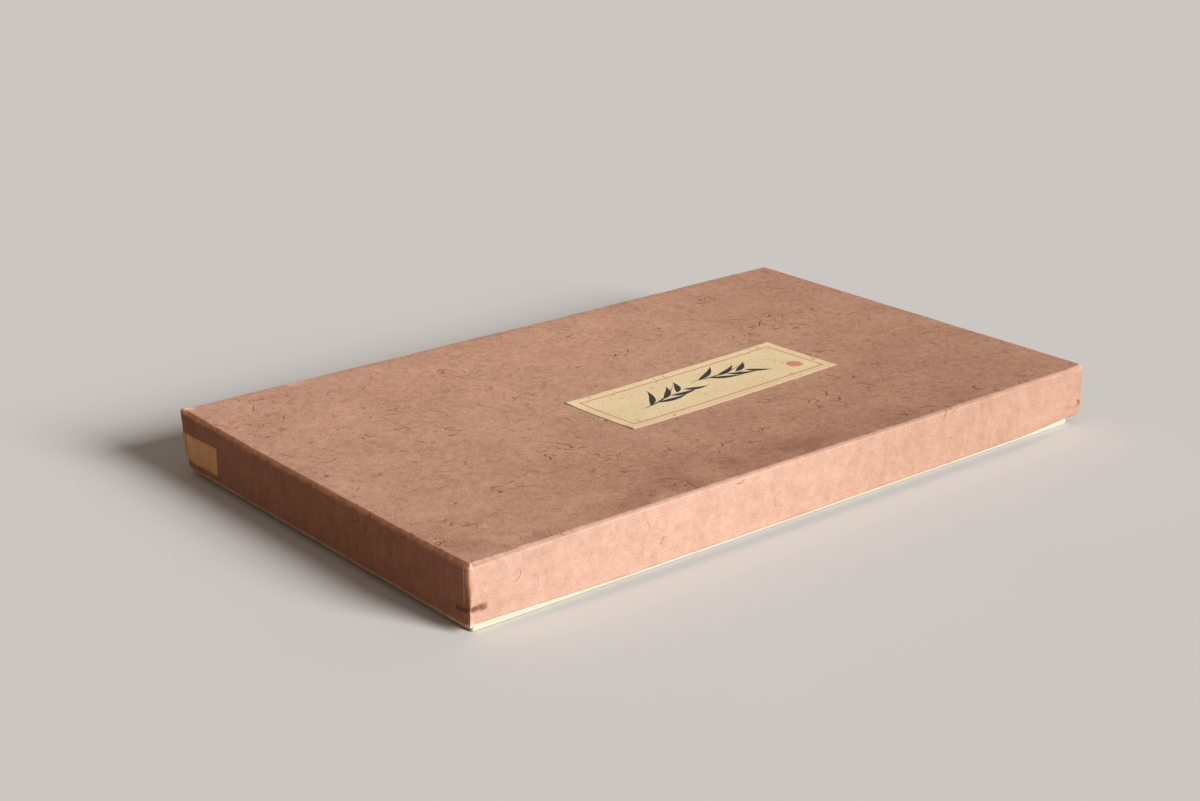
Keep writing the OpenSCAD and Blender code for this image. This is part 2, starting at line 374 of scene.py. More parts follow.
@dataclass(frozen=True)
class LidForm:
    """How the lid has aged: its walls bow outwards at their foot, its top sags, its left end hangs."""

    half_length: float
    half_width: float
    foot: float
    top: float
    front_bow: Bow = Bow(2.6 * MM, 78 * MM, 1.2, 45 * MM, 2.0)
    back_bow: Bow = Bow(1.6 * MM, 60 * MM, 1.3, 70 * MM, 1.3)
    left_bow: Bow = Bow(0.3 * MM, 40 * MM, 1.2, 40 * MM, 1.2)
    right_bow: Bow = Bow(1.0 * MM, 50 * MM, 1.3, 50 * MM, 1.3)
    bow_full: float = 3 * MM
    bow_none: float = 8 * MM
    flare: float = 1.4
    sag: float = 2.2 * MM
    sag_margin: float = 4.5 * MM
    sag_power: float = 1.15
    end_drop: float = 1.0 * MM
    end_crush: float = 0.45
    end_reach: float = 45 * MM
    front_pinch: float = 0.5
    front_drop: float = 0.42 * MM
    ear: float = 2.6 * MM
    ear_round: float = 0.9 * MM
    corner_lift: float = 0.4 * MM

    def knocks(self) -> list[Knock]:
        """Lists the blunted corners, all at the rear left: a worn foot, a soft edge and a raised knob.

        Returns:
            The knocks, each at a corner of the lid.
        """
        corner = (-self.half_length, self.half_width)
        middle = (self.foot + self.top) / 2
        return [
            Knock(corner, self.foot, 2.5 * MM, 2.0 * MM, 2.4 * MM, 4.6 * MM),
            Knock(corner, middle, 0.25 * MM, 0.0, 1.6 * MM, 7.0 * MM),
            Knock(corner, self.top, -0.5 * MM, 0.9 * MM, 2.8 * MM, 3.6 * MM),
        ]

    def inside(self, points: Array) -> Inside:
        """Measures points against the walls and the top of the straight lid.

        Args:
            points: Points of the straight lid, three numbers along the last axis.

        Returns:
            Their distances.
        """
        x, y, z = np.moveaxis(points, -1, 0)
        ends = (x + self.half_length, self.half_length - x)
        sides = (y + self.half_width, self.half_width - y)
        share = np.clip((self.top - z) / (self.top - self.foot), 0.0, 1.1)
        return Inside(*(np.maximum(gap, 0.0) for gap in (*ends, *sides, self.top - z)), share)

    def bowing(self, at: Inside) -> Array:
        """How far the walls move outwards.

        A wall's bow is scaled by the share of the wall above the point, to the power flare. It acts
        fully near the wall's outer face and fades out further inside.

        Args:
            at: Where the points lie in the lid.

        Returns:
            Moves, three numbers along the last axis.
        """
        left = self.left_bow.at(at.front, at.back) * ease(at.left, self.bow_none, self.bow_full)
        right = self.right_bow.at(at.front, at.back) * ease(at.right, self.bow_none, self.bow_full)
        front = self.front_bow.at(at.left, at.right) * ease(at.front, self.bow_none, self.bow_full)
        back = self.back_bow.at(at.left, at.right) * ease(at.back, self.bow_none, self.bow_full)
        moves = np.stack([right - left, back - front, np.zeros_like(left)], axis=-1)
        return moves * (at.share**self.flare)[..., None]

    def sagging(self, at: Inside) -> Array:
        """How far the top sags: a product of two parabolas, eased where it starts inside the walls.

        Args:
            at: Where the points lie in the lid.

        Returns:
            One fall for each point.
        """
        x, y = (at.left - at.right) / 2, (at.front - at.back) / 2
        along = np.clip(1.0 - (x / (self.half_length - self.sag_margin)) ** 2, 0.0, 1.0)
        across = np.clip(1.0 - (y / (self.half_width - self.sag_margin)) ** 2, 0.0, 1.0)
        return self.sag * (along * across) ** self.sag_power * ease(at.below, 4 * MM, 2 * MM)

    def hanging(self, at: Inside) -> Array:
        """How far the left end hangs lower.

        Its wall drops evenly along its foot, and along its upper edge by a share that fades towards
        its two corners. The top follows it down over some way, less on its inner side, where its edge
        is crushed.

        Args:
            at: Where the points lie in the lid.

        Returns:
            One fall for each point.
        """
        wall = (1.4 + 1.7 * ease(np.minimum(at.front, at.back), 0.3 * MM, 2.5 * MM)) * MM
        foot = at.share * np.clip((wall - at.left) / (0.8 * MM), 0.0, 1.0)
        skin = np.maximum(ease(at.below, 2.0 * MM, 0.4 * MM), ease(at.left, 3.0 * MM, 2.2 * MM))
        edge = (0.4 + 0.6 * swing(at.front, 40 * MM)) * swing(at.back, 70 * MM, 1.3)
        edge *= (self.end_crush + (1.0 - self.end_crush) * skin) * at.upper
        return self.end_drop * (foot + edge * ease(at.left, self.end_reach, 2 * MM))

    def pinching(self, at: Inside) -> tuple[Array, Array]:
        """How the roll of the front edge is pinched, and how that edge sinks towards the right.

        The roll's distances from the wall and from the top shrink by a share that fades with a bell
        curve.

        Args:
            at: Where the points lie in the lid.

        Returns:
            One move to the front and one rise for each point.
        """
        pinch = self.front_pinch * swing(at.left, 60 * MM) * swing(at.right, 12 * MM)
        drawn = at.front * bell(at.front, 2.0 * MM) * ease(at.below, 5.0 * MM, 2.5 * MM)
        raised = at.below * bell(at.below, 2.6 * MM) * ease(at.front, 2.2 * MM, 1.2 * MM)
        skin = np.maximum(ease(at.below, 1.6 * MM, 0.3 * MM), ease(at.front, 1.6 * MM, 1.0 * MM))
        lower = ease(at.left, 90 * MM, 240 * MM) * swing(at.right, 8 * MM)
        lower *= ease(at.front, 30 * MM, 2 * MM) * skin * at.upper
        return pinch * drawn, pinch * raised - self.front_drop * lower

    def rounding(self, at: Inside) -> Array:
        """How far the left end turns in beside the front: a quarter of an ellipse, in its upper part.

        Args:
            at: Where the points lie in the lid.

        Returns:
            One move to the right for each point.
        """
        beside = np.clip(1.0 - at.front / self.ear, 0.0, 1.0)
        rounded = self.ear_round * (1.0 - np.sqrt(1.0 - beside**2))
        upper = ease(at.below, self.top - self.foot - 3 * MM, 9 * MM)
        return rounded * upper * ease(at.left, 2.4 * MM, 0.6 * MM)

    def settle(self, points: Array, under_paper: bool = False) -> Array:
        """Moves points of the straight lid to where the aged lid has them.

        The bows, the sag, the hanging end, the pinched front edge, the rounded ear and the lifted rear
        right corner add up. The knocked corners come last.

        Args:
            points: Points of the straight lid, three numbers along the last axis.
            under_paper: Whether they belong to a piece that a swollen corner of the paper leaves behind.

        Returns:
            The moved points.
        """
        at = self.inside(points)
        drawn, raised = self.pinching(at)
        to_right = ease(at.right, self.half_length - 20 * MM, 0.0)
        lifted = self.corner_lift * to_right * ease(at.back, self.half_width + 50 * MM, 0.0)
        moved = points + self.bowing(at)
        moved[..., 0] += self.rounding(at)
        moved[..., 1] -= drawn
        moved[..., 2] += raised + lifted - self.sagging(at) - self.hanging(at)
        for knock in self.knocks():
            if knock.push > 0.0 or not under_paper:
                moved = knock.soften(points, moved)
        return moved


@dataclass
class Stations:
    """Places round the flat part of a sheet at which its cross section stands.

    Each has a foot and an outward direction in plan, a place and a direction on the flat sheet, and a
    lap, 1 on a flap that lies over another.
    """

    foot: Array
    out: Array
    sheet: Array
    run: Array
    lap: Array

    @staticmethod
    def row(foot: Array, out: Array, sheet: Array, run: Array, lap: float = 0.0) -> "Stations":
        """Makes a row of stations, spreading single values over its places."""
        spread = np.broadcast_arrays(foot, out, sheet, run)
        return Stations(*spread, np.full(len(spread[0]), lap))

    @property
    def cut(self) -> Array:
        """1 at the cut edges, where the lap starts or ends, and 0 elsewhere."""
        return np.maximum(np.abs(np.diff(self.lap, append=0.0)), np.abs(np.diff(self.lap, prepend=0.0)))

    def turned(self) -> "Stations":
        """The same stations turned half round the middle."""
        return Stations(-self.foot, -self.out, -self.sheet, -self.run, self.lap)


@dataclass(frozen=True)
class Roll:
    """The rolled upper edge of the lid: a quarter turn between an ellipse and a flat bevel.

    Its distances out and up, as shares of its reach and depth, each to power, add up to 1. A power of
    2 makes an ellipse and a power of 1 a bevel.
    """

    reach: float
    depth: float
    power: float = 1.2
    samples: int = 65

    def points(self, turn: Array) -> tuple[Array, Array, Array, Array]:
        """Places and facing directions on the roll.

        Args:
            turn: Angles from 0 at the top to a quarter turn at the wall.

        Returns:
            How far out and how deep each place is, and the outward and upward parts of its direction.
        """
        out = np.sin(turn) ** (2.0 / self.power)
        up = np.maximum(np.cos(turn), 0.0) ** (2.0 / self.power)
        face_out = out ** (self.power - 1.0) / self.reach
        face_up = up ** (self.power - 1.0) / self.depth
        norm = np.hypot(face_out, face_up)
        return self.reach * out, self.depth * (1.0 - up), face_out / norm, face_up / norm

    def table(self) -> tuple[Array, Array]:
        """Tables angles from the top to the wall and the length along the roll to each of them.

        Returns:
            The angles and the lengths.
        """
        turn = np.linspace(0.0, QUARTER, self.samples)
        off, drop, _, _ = self.points(turn)
        return turn, np.concatenate([[0.0], np.cumsum(np.hypot(np.diff(off), np.diff(drop)))])

    @property
    def length(self) -> float:
        """Length of the whole roll."""
        return float(self.table()[1][-1])

    def turn_at(self, past: Array) -> Array:
        """Angle that is reached some way along the roll, read from the table."""
        turn, lengths = self.table()
        return np.interp(past, lengths, turn)

    def tuck(self, points: Array, outer: Array, inset: float) -> Array:
        """Draws points that would stick out of the roll back to some way inside it.

        Args:
            points: Points of a board under the paper.
            outer: Half the length and width of the lid, and the height of its upper face.
            inset: Distance to keep inside the roll.

        Returns:
            The points, moved towards the roll's middle line where they have to be.
        """
        spans = np.array([self.reach, self.reach, self.depth])
        share = np.clip((np.abs(points) - outer + spans) / spans, 0.0, 1.0)
        size = (share[:, :2].max(axis=1) ** self.power + share[:, 2] ** self.power) ** (1.0 / self.power)
        limit = 1.0 - inset / self.reach
        sticks_out = (size > limit) & (share[:, 2] > 0.0)
        excess = np.where(sticks_out, 1.0 - limit / np.maximum(size, limit), 0.0)
        return points - share * excess[:, None] * spans * np.sign(points)


@dataclass
class Section:
    """A cross section from the edge of a flat part: how far out, how deep, and which way it faces."""

    off: Array
    drop: Array
    face_out: Array
    face_down: Array

    @staticmethod
    def line(start: Place, end: Place, steps: int, face: Place = (0.0, 0.0)) -> "Section":
        """A straight stretch in even steps, whose places and facing are each an (out, down) pair."""
        off, drop = np.linspace(start, end, steps).T
        return Section(off, drop, *(np.full(steps, part) for part in face))

    @staticmethod
    def arc(centre: Place, radius: float, turns: Place, steps: int) -> "Section":
        """Makes a round stretch that faces away from its centre.

        Args:
            centre: Its centre, as an (out, down) pair.
            radius: Its radius.
            turns: First and last angle in degrees, where 0 is up, 90 outwards and 180 down.
            steps: Number of places.

        Returns:
            The stretch.
        """
        turn = np.radians(np.linspace(*turns, steps))
        out, down = np.sin(turn), -np.cos(turn)
        return Section(centre[0] + radius * out, centre[1] + radius * down, out, down)

    @staticmethod
    def over(roll: Roll, steps: int) -> "Section":
        """The roll, from the top to the wall."""
        off, drop, out, up = roll.points(np.linspace(0.0, QUARTER, steps))
        return Section(off, drop, out, -up)

    def under(self, inset: float) -> "Section":
        """The same stretch some way inside, run the other way and facing nowhere."""
        off, drop = self.off - inset * self.face_out, self.drop - inset * self.face_down
        return Section(off[::-1], drop[::-1], np.zeros_like(off), np.zeros_like(off))

    @property
    def arc_length(self) -> Array:
        """Length along the section from its start."""
        steps = np.hypot(np.diff(self.off), np.diff(self.drop))
        return np.concatenate([[0.0], np.cumsum(steps)])


@dataclass(frozen=True)
class Plan:
    """A rectangle with rounded corners, seen from above, that a sheet is folded round."""

    half_length: float
    half_width: float
    radius: float
    centre_x: float = 0.0
    ear_steps: int = 0
    fan_steps: int = 9
    squareness: float = 2.0

    @property
    def flat(self) -> Array:
        """Half sizes of the flat part inside the folds."""
        return np.array([self.half_length - self.radius, self.half_width - self.radius])

    def corner(self, turn: Array) -> tuple[Array, Array]:
        """Outline of a corner: the circle of a turn's sine and cosine, pressed towards a square.

        Both are divided by the root of the sum of their powers. A power of 2 leaves the circle.

        Args:
            turn: Angles from 0 to a quarter turn.

        Returns:
            The shares of the radius sideways and forwards.
        """
        across, ahead = np.sin(turn), np.cos(turn)
        power = self.squareness
        norm = (np.abs(across) ** power + np.abs(ahead) ** power) ** (1.0 / power)
        return across / norm, ahead / norm

    def stations(self) -> Stations:
        """Lists the stations anticlockwise from the left end of the front.

        A long side's flap goes on round the corner as an ear, under the end's flap, which starts
        ear_steps places from the corner and doubles the last place to make its cut edge.

        Returns:
            The closed row of stations.
        """
        a, b = self.flat
        along, up = graded(a), graded(b)
        ear = self.ear_steps
        turn = np.linspace(0.0, QUARTER, self.fan_steps)
        round_it = a + self.radius * QUARTER
        front, right, back = np.array([[0.0, -1.0]]), np.array([[1.0, 0.0]]), np.array([[0.0, 1.0]])
        near, far = up[: ear + 1], up[len(up) - ear - 1 :]
        flap = up[ear : len(up) - ear]
        flap_row = Stations.row(pairs(a, flap), right, pairs(a, flap), right, 1.0)
        lows = [Stations.row(pairs(a, end), right, pairs(a, end), right) for end in (flap[0], flap[-1])]
        across, ahead = self.corner(turn)
        corner_in, corner_out = pairs(across, -ahead), pairs(ahead, across)
        half = chain([
            Stations.row(pairs(along, -b), front, pairs(along, -b), front),
            Stations.row(pairs(a, -b), corner_in, pairs(a + self.radius * turn, -b), front),
            Stations.row(pairs(a, near), right, pairs(round_it + near + b, -b), front),
            lows[0],
            flap_row,
            lows[1],
            Stations.row(pairs(a, far), right, pairs(round_it + b - far, b), back),
            Stations.row(pairs(a, b), corner_out, pairs(round_it - self.radius * turn, b), back),
        ])
        return chain([half, half.turned()])

    def carry(
        self, stations: Stations, section: Section, level: float, way: int = 1
    ) -> tuple[Array, Array]:
        """Carries a cross section round the stations.

        Outwards a place moves along its station's direction. Inwards the whole rectangle shrinks, so
        that the sides meet in a mitre.

        Args:
            stations: The stations.
            section: The cross section.
            level: Height of the flat part.
            way: 1 where the section goes down from it, -1 where it goes up.

        Returns:
            Points and their places on the flat sheet, both section by stations.
        """
        outwards = np.maximum(section.off, 0.0)[:, None, None]
        limit = self.flat[None, None, :] + section.off[:, None, None]
        places = np.clip(stations.foot + stations.out * outwards, -limit, limit)
        points = upright(places, level - way * section.drop)
        return points, stations.sheet + stations.run * section.arc_length[:, None, None]


@dataclass(frozen=True)
class PastedSheet:
    """A sheet pasted on a panel and up or down the walls round it, with nothing turned over."""

    plan: Plan
    plane: float
    depth: float
    thickness: float
    hang: Hang

    def section(self) -> Section:
        """Cross section on the pasted side, over the end and back on the open side.

        Returns:
            The section.
        """
        r, inner = self.plan.radius, self.plan.radius - self.thickness
        return chain([
            Section.arc((0.0, r), r, (0, 90), 5),
            Section.line((r, r), (r, self.depth), 12),
            Section.line((inner, self.depth), (inner, r), 12),
            Section.arc((0.0, r), inner, (90, 0), 5),
        ])

    def skin(self) -> Skin:
        """Folds the sheet: its two flat faces and the skirt of cross sections round them.

        Returns:
            The closed skin.
        """
        flip = self.hang is Hang.UP
        way = self.hang.value
        skirt, flat_map = self.plan.carry(self.plan.stations(), self.section(), self.plane, way)
        skins = [Skin.of_grid(skirt, flat_map, flip=flip, wrap_columns=True)]
        along, across = (graded(half) for half in self.plan.flat)
        for sunk, turned in ((0.0, flip), (self.thickness, not flip)):
            panel = level_grid(along, across, self.plane - way * sunk)
            skins.append(Skin.of_grid(panel, panel[..., :2], flip=turned))
        whole = Skin.join(skins)
        whole.points[:, 0] += self.plan.centre_x
        return whole


@dataclass(frozen=True)
class Ripples:
    """Slight unevenness of pasted paper: a sum of seeded sine waves in space."""

    height: float = 0.045 * MM
    waves: int = 9
    shortest: float = 11 * MM
    longest: float = 48 * MM
    seed: int = 7

    def at(self, points: Array) -> Array:
        """Height of the unevenness at each point.

        Args:
            points: Points, three numbers along the last axis.

        Returns:
            One height for each point.
        """
        draw = np.random.default_rng(self.seed)
        length = np.exp(draw.uniform(math.log(self.shortest), math.log(self.longest), self.waves))
        way = draw.normal(size=(self.waves, 3))
        way *= (2 * math.pi / length / np.linalg.norm(way, axis=1))[:, None]
        phase = draw.uniform(0.0, 2 * math.pi, self.waves)
        return self.height * np.sin(points @ way.T + phase).sum(axis=-1) / math.sqrt(self.waves)


@dataclass(frozen=True)
class CoverPaper:
    """The fibre paper of the lid: over the top, down the walls, round the rim and up inside."""

    plan: Plan
    roll: Roll
    form: LidForm
    thickness: float
    wall: float
    turn_in: float
    rim: float = 0.5 * MM
    lap_rise: float = 0.2 * MM
    cut_wear: float = 0.9
    ear_length: float = 16 * MM
    staple_level: float = 8.6 * MM
    staple_arm: float = 7.0 * MM
    staple_band: float = 1.1 * MM
    staple_rise: float = 0.24 * MM
    crease: float = 0.13 * MM
    ripples: Ripples = Ripples()

    @property
    def depth(self) -> float:
        """Height of the lid's walls."""
        return self.form.top - self.form.foot

    def section(self) -> Section:
        """Cross section: over the edge, down, round the rim, up the inside, and back along the board.

        Returns:
            The section, with rows close together where the staples show.
        """
        r, e, w, p, d = self.plan.radius, self.rim, self.wall, self.thickness, self.depth
        bent, creased = self.roll.depth, self.roll.depth + 1.5 * MM
        ridge = self.form.top - self.staple_level
        above, below = ridge - 1.8 * MM, ridge + 1.8 * MM
        outwards, inwards = (1.0, 0.0), (-1.0, 0.0)
        return chain([
            Section.over(self.roll, 15),
            Section.line((r, bent), (r, creased), 8, outwards),
            Section.line((r, creased), (r, above), 10, outwards),
            Section.line((r, above), (r, below), 14, outwards),
            Section.line((r, below), (r, d - e), 6, outwards),
            Section.arc((r - e, d - e), e, (90, 180), 5),
            Section.arc((r - w + e, d - e), e, (180, 270), 5),
            Section.line((r - w, d - e), (r - w, d - self.turn_in), 8, inwards),
            Section.line((r - w + p, d - self.turn_in), (r - w + p, d - p), 8),
            Section.line((r - p, d - p), (r - p, bent), 14),
            Section.over(self.roll, 9).under(p),
        ])

    def swell(self, points: Array, outer: Array | float, lap: Array | float) -> Array:
        """How far the paper stands proud of the smooth lid.

        It is the sum of the ripples, of the step where an end flap lies over an ear, fading out above
        the fold and where the ear ends, of a flat-topped ridge round each corner over a staple, and of
        a shallow crease along the walls under the rolled edge.

        Args:
            points: Points of the straight lid.
            outer: 1 on the outside of the rolled edge and the walls, 0 elsewhere.
            lap: 1 on an end flap, 0 elsewhere.

        Returns:
            One height for each point.
        """
        x, y, z = np.abs(points[..., 0]), np.abs(points[..., 1]), points[..., 2]
        beside_x, beside_y = self.form.half_length - x, self.form.half_width - y
        below_top = self.form.top - z
        step = lap * ease(below_top, 0.3 * MM, 2.5 * MM)
        step = step * ease(beside_y, self.ear_length + 2.5 * MM, self.ear_length)
        round_corner = np.maximum(beside_x, 0.0) + np.maximum(beside_y, 0.0)
        ridge = ease(round_corner, self.staple_arm + 0.6 * MM, self.staple_arm - 0.3 * MM)
        ridge = ridge * ease(np.abs(z - self.staple_level), self.staple_band, 0.45 * self.staple_band)
        crease = bell(below_top - self.roll.depth - 0.55 * MM, 0.33 * MM)
        proud = self.lap_rise * step + self.staple_rise * ridge - self.crease * crease
        return self.ripples.at(points) + outer * proud

    def wear(self, points: Array) -> Array:
        """Share of wear, which on the rolled ends also carries painted light: high along the upper edge, low
        on the upright ones, and on four scuffed places.

        A point's distance from the nearest wall and from the top or the rim, whichever is larger, is
        small along an upper or lower edge. Its larger distance from two walls is small along an upright
        edge. Bell curves of these add up, to a limit that only the foot and the scuffs pass.

        Args:
            points: Points of the straight lid.

        Returns:
            One share for each point.
        """
        x, y, z = np.moveaxis(points, -1, 0)
        form = self.form
        beside_x, beside_y = np.abs(form.half_length - np.abs(x)), np.abs(form.half_width - np.abs(y))
        below_top, above_foot = np.abs(form.top - z), np.abs(z - form.foot)
        wall = np.minimum(beside_x, beside_y)
        rolled = beside_x < self.plan.radius + 0.1 * MM
        edges = (
            (0.25, np.maximum(wall, below_top), 1.5),
            # partly wear, partly painted light: the rolled end edges take a larger share, laid on in a warm
            # tint as if they caught the light
            (0.70 * rolled, np.maximum(beside_x, below_top), 2.2),
            (0.35, np.maximum(wall, above_foot), 0.8),
            (0.40, np.maximum(beside_x, above_foot), 1.4),
            (1.30 * (x < 0.0), np.maximum(beside_x, above_foot), 0.5),
            (0.12, np.maximum(beside_x, beside_y), 0.9),
        )
        share = sum(weight * bell(gap, reach * MM) for weight, gap, reach in edges)
        limit = 0.85 - 0.4 * ease(x, 142 * MM, 149 * MM)
        share = np.where(above_foot < 3.0 * MM, share, np.minimum(share, limit))
        scuffs = (
            (2.3, (-147.7, 88.3, 25.4), 1.9),
            (0.8, (-148.5, 89.0, 4.0), 3.5),
            (1.2, (-103.0, 89.4, 25.2), 4.2),
            (1.6, (-149.8, -90.2, 3.9), 1.3),
        )
        for weight, place, reach in scuffs:
            gap = np.linalg.norm(points - np.array(place) * MM, axis=-1)
            share += weight * bell(gap, reach * MM)
        return share

    def skin(self) -> Skin:
        """Folds the paper round the lid, raises it where it stands proud and ages its form.

        Returns:
            The closed skin, in and out.
        """
        section, stations = self.section(), self.plan.stations()
        skirt, flat_map = self.plan.carry(stations, section, self.form.top)
        faces = upright(stations.out * section.face_out[:, None, None], -section.face_down)
        outer = (section.face_out > 0.0)[:, None]
        proud = self.swell(skirt, outer, stations.lap)[..., None]
        cut = outer * stations.cut * ease(self.form.top - skirt[..., 2], MM, 3 * MM)
        worn = self.wear(skirt) + self.cut_wear * cut
        skins = [Skin.of_grid(self.form.settle(skirt + faces * proud), flat_map, worn, wrap_columns=True)]
        along, across = (graded(half) for half in self.plan.flat)
        for sunk in (0.0, self.thickness):
            panel = level_grid(along, across, self.form.top - sunk)
            worn = self.wear(panel)
            if sunk == 0.0:
                panel[..., 2] += self.swell(panel, 0.0, 0.0)
            skins.append(Skin.of_grid(self.form.settle(panel), panel[..., :2], worn, sunk > 0.0))
        return Skin.join(skins)

    def fold(self, u: Array, v: Array, lift: Array | float) -> Array:
        """Folds places on the flat sheet onto the aged lid, some way above the paper.

        Inside the flat part a place stays as it is. Beyond it, the distance past the fold runs along
        the roll and then straight down the wall.

        Args:
            u: Places along the length of the sheet.
            v: Places along its width.
            lift: Height above the paper.

        Returns:
            Points, three numbers along the last axis.
        """
        a, b = self.plan.flat
        over_end, over_side = np.maximum(np.abs(u) - a, 0.0), np.maximum(np.abs(v) - b, 0.0)
        past = np.maximum(over_end, over_side)
        off, drop, face_out, face_up = self.roll.points(self.roll.turn_at(past))
        drop = drop + np.maximum(past - self.roll.length, 0.0)
        on_end = over_end > over_side
        out_x, out_y = np.where(on_end, np.sign(u), 0.0), np.where(on_end, 0.0, np.sign(v))
        x, y = np.clip(u, -a, a) + out_x * off, np.clip(v, -b, b) + out_y * off
        points = np.stack([x, y, self.form.top - drop], axis=-1)
        faces = np.stack([out_x * face_out, out_y * face_out, face_up], axis=-1)
        ear = self.form.half_width - np.abs(y)
        lap = on_end & (ear > graded(b)[self.plan.ear_steps] + self.form.half_width)
        proud = self.swell(points, (past > 0.0).astype(float), lap) + lift
        return self.form.settle(points + faces * proud[..., None])


@dataclass(frozen=True)
class Fibres:
    """Loose fibres in the surface of the paper, as thin raised hairs with three sides.

    Lengths and widths are each a smallest and a largest size. Few of the hairs lie on the walls.
    """

    count: int
    lengths: Place
    widths: Place
    curl: float
    seed: int
    steps: int = 10
    side_share: float = 0.24
    tangle: int = 1
    spread: float = 4.0 * MM
    rise: float = 0.35
    sink: float = 0.03 * MM

    def scatter(self, paper: CoverPaper) -> tuple[Array, ...]:
        """Draws the middle lines of the fibres on the flat sheet.

        Fibres that share a tangle lie about one place, apart by a normal spread. A fibre's heading is
        its first heading plus a bend that grows evenly, plus a sine sway. Its middle line is the
        running sum of its headings. Those that leave the sheet or its cut corners are dropped.

        Args:
            paper: The paper that carries them.

        Returns:
            Places along and across the sheet and headings, fibres by steps, then widths and tones.
        """
        draw = np.random.default_rng(self.seed)
        a, b = paper.plan.flat
        side = paper.depth - paper.roll.depth + paper.roll.length - 1.2 * MM
        spans = (a + side, b + side)
        nests = -(-self.count // self.tangle)
        u, v = (np.repeat(draw.uniform(-span, span, nests), self.tangle)[: self.count] for span in spans)
        apart = draw.normal(0.0, self.spread if self.tangle > 1 else 0.0, (2, self.count))
        u, v = u + apart[0], v + 0.6 * apart[1]
        shortest, longest = self.lengths
        length = shortest + (longest - shortest) * draw.beta(1.1, 3.2, self.count)
        width = draw.uniform(*self.widths, self.count)
        heading = draw.uniform(0.0, 2 * math.pi, self.count)[:, None]
        bend = draw.normal(0.0, self.curl, self.count)[:, None]
        sway = draw.normal(0.0, 0.45 * self.curl, self.count)[:, None]
        phase = draw.uniform(0.0, 6.3, self.count)[:, None]
        tone = draw.uniform(0.0, 1.0, self.count)
        share = np.linspace(0.0, 1.0, self.steps)[None, :]
        way = heading + bend * share + sway * np.sin(7.0 * share + phase)
        stride = (length / (self.steps - 1))[:, None]
        mid_u = u[:, None] + np.cumsum(np.cos(way), axis=1) * stride
        mid_v = v[:, None] + np.cumsum(np.sin(way), axis=1) * stride
        far_u, far_v = np.abs(mid_u).max(axis=1), np.abs(mid_v).max(axis=1)
        on_top = (np.abs(u) < a) & (np.abs(v) < b)
        keep = (far_u < spans[0]) & (far_v < spans[1]) & ~((far_u > a) & (far_v > b))
        keep &= on_top | ((tone < self.side_share) & (length > 4.5 * MM))
        width = np.where(on_top, width, 0.7 * width)
        return tuple(part[keep] for part in (mid_u, mid_v, way, width, tone))

    def skin(self, paper: CoverPaper) -> Skin:
        """Raises the fibres and folds them onto the lid with the paper.

        A fibre's width and rise are a root of a sine wave along it, 0 at both ends.

        Args:
            paper: The paper that carries them.

        Returns:
            One skin with all fibres, each with its tone as its worn share.
        """
        mid_u, mid_v, way, width, tone = self.scatter(paper)
        share = np.linspace(0.0, 1.0, self.steps)[None, :]
        body = width[:, None] * np.sqrt(np.abs(np.sin(math.pi * share)))
        half_u, half_v = -np.sin(way) * body / 2, np.cos(way) * body / 2
        sunk = np.full_like(body, -self.sink)
        rows = [
            paper.fold(mid_u - half_u, mid_v - half_v, sunk),
            paper.fold(mid_u + half_u, mid_v + half_v, sunk),
            paper.fold(mid_u, mid_v, self.rise * body - self.sink),
        ]
        each = (len(mid_u), len(rows), self.steps)
        one = grid_quads(len(rows), self.steps, wrap_rows=True)
        firsts = len(rows) * self.steps * np.arange(len(mid_u))
        quads = (one[None] + firsts[:, None, None]).reshape(-1, 4)
        flat_map = np.broadcast_to(np.stack([mid_u, mid_v], axis=-1)[:, None], (*each, 2))
        tones = np.broadcast_to(tone[:, None, None], each)
        return Skin(np.stack(rows, axis=1).reshape(-1, 3), quads, flat_map.reshape(-1, 2), tones.ravel())


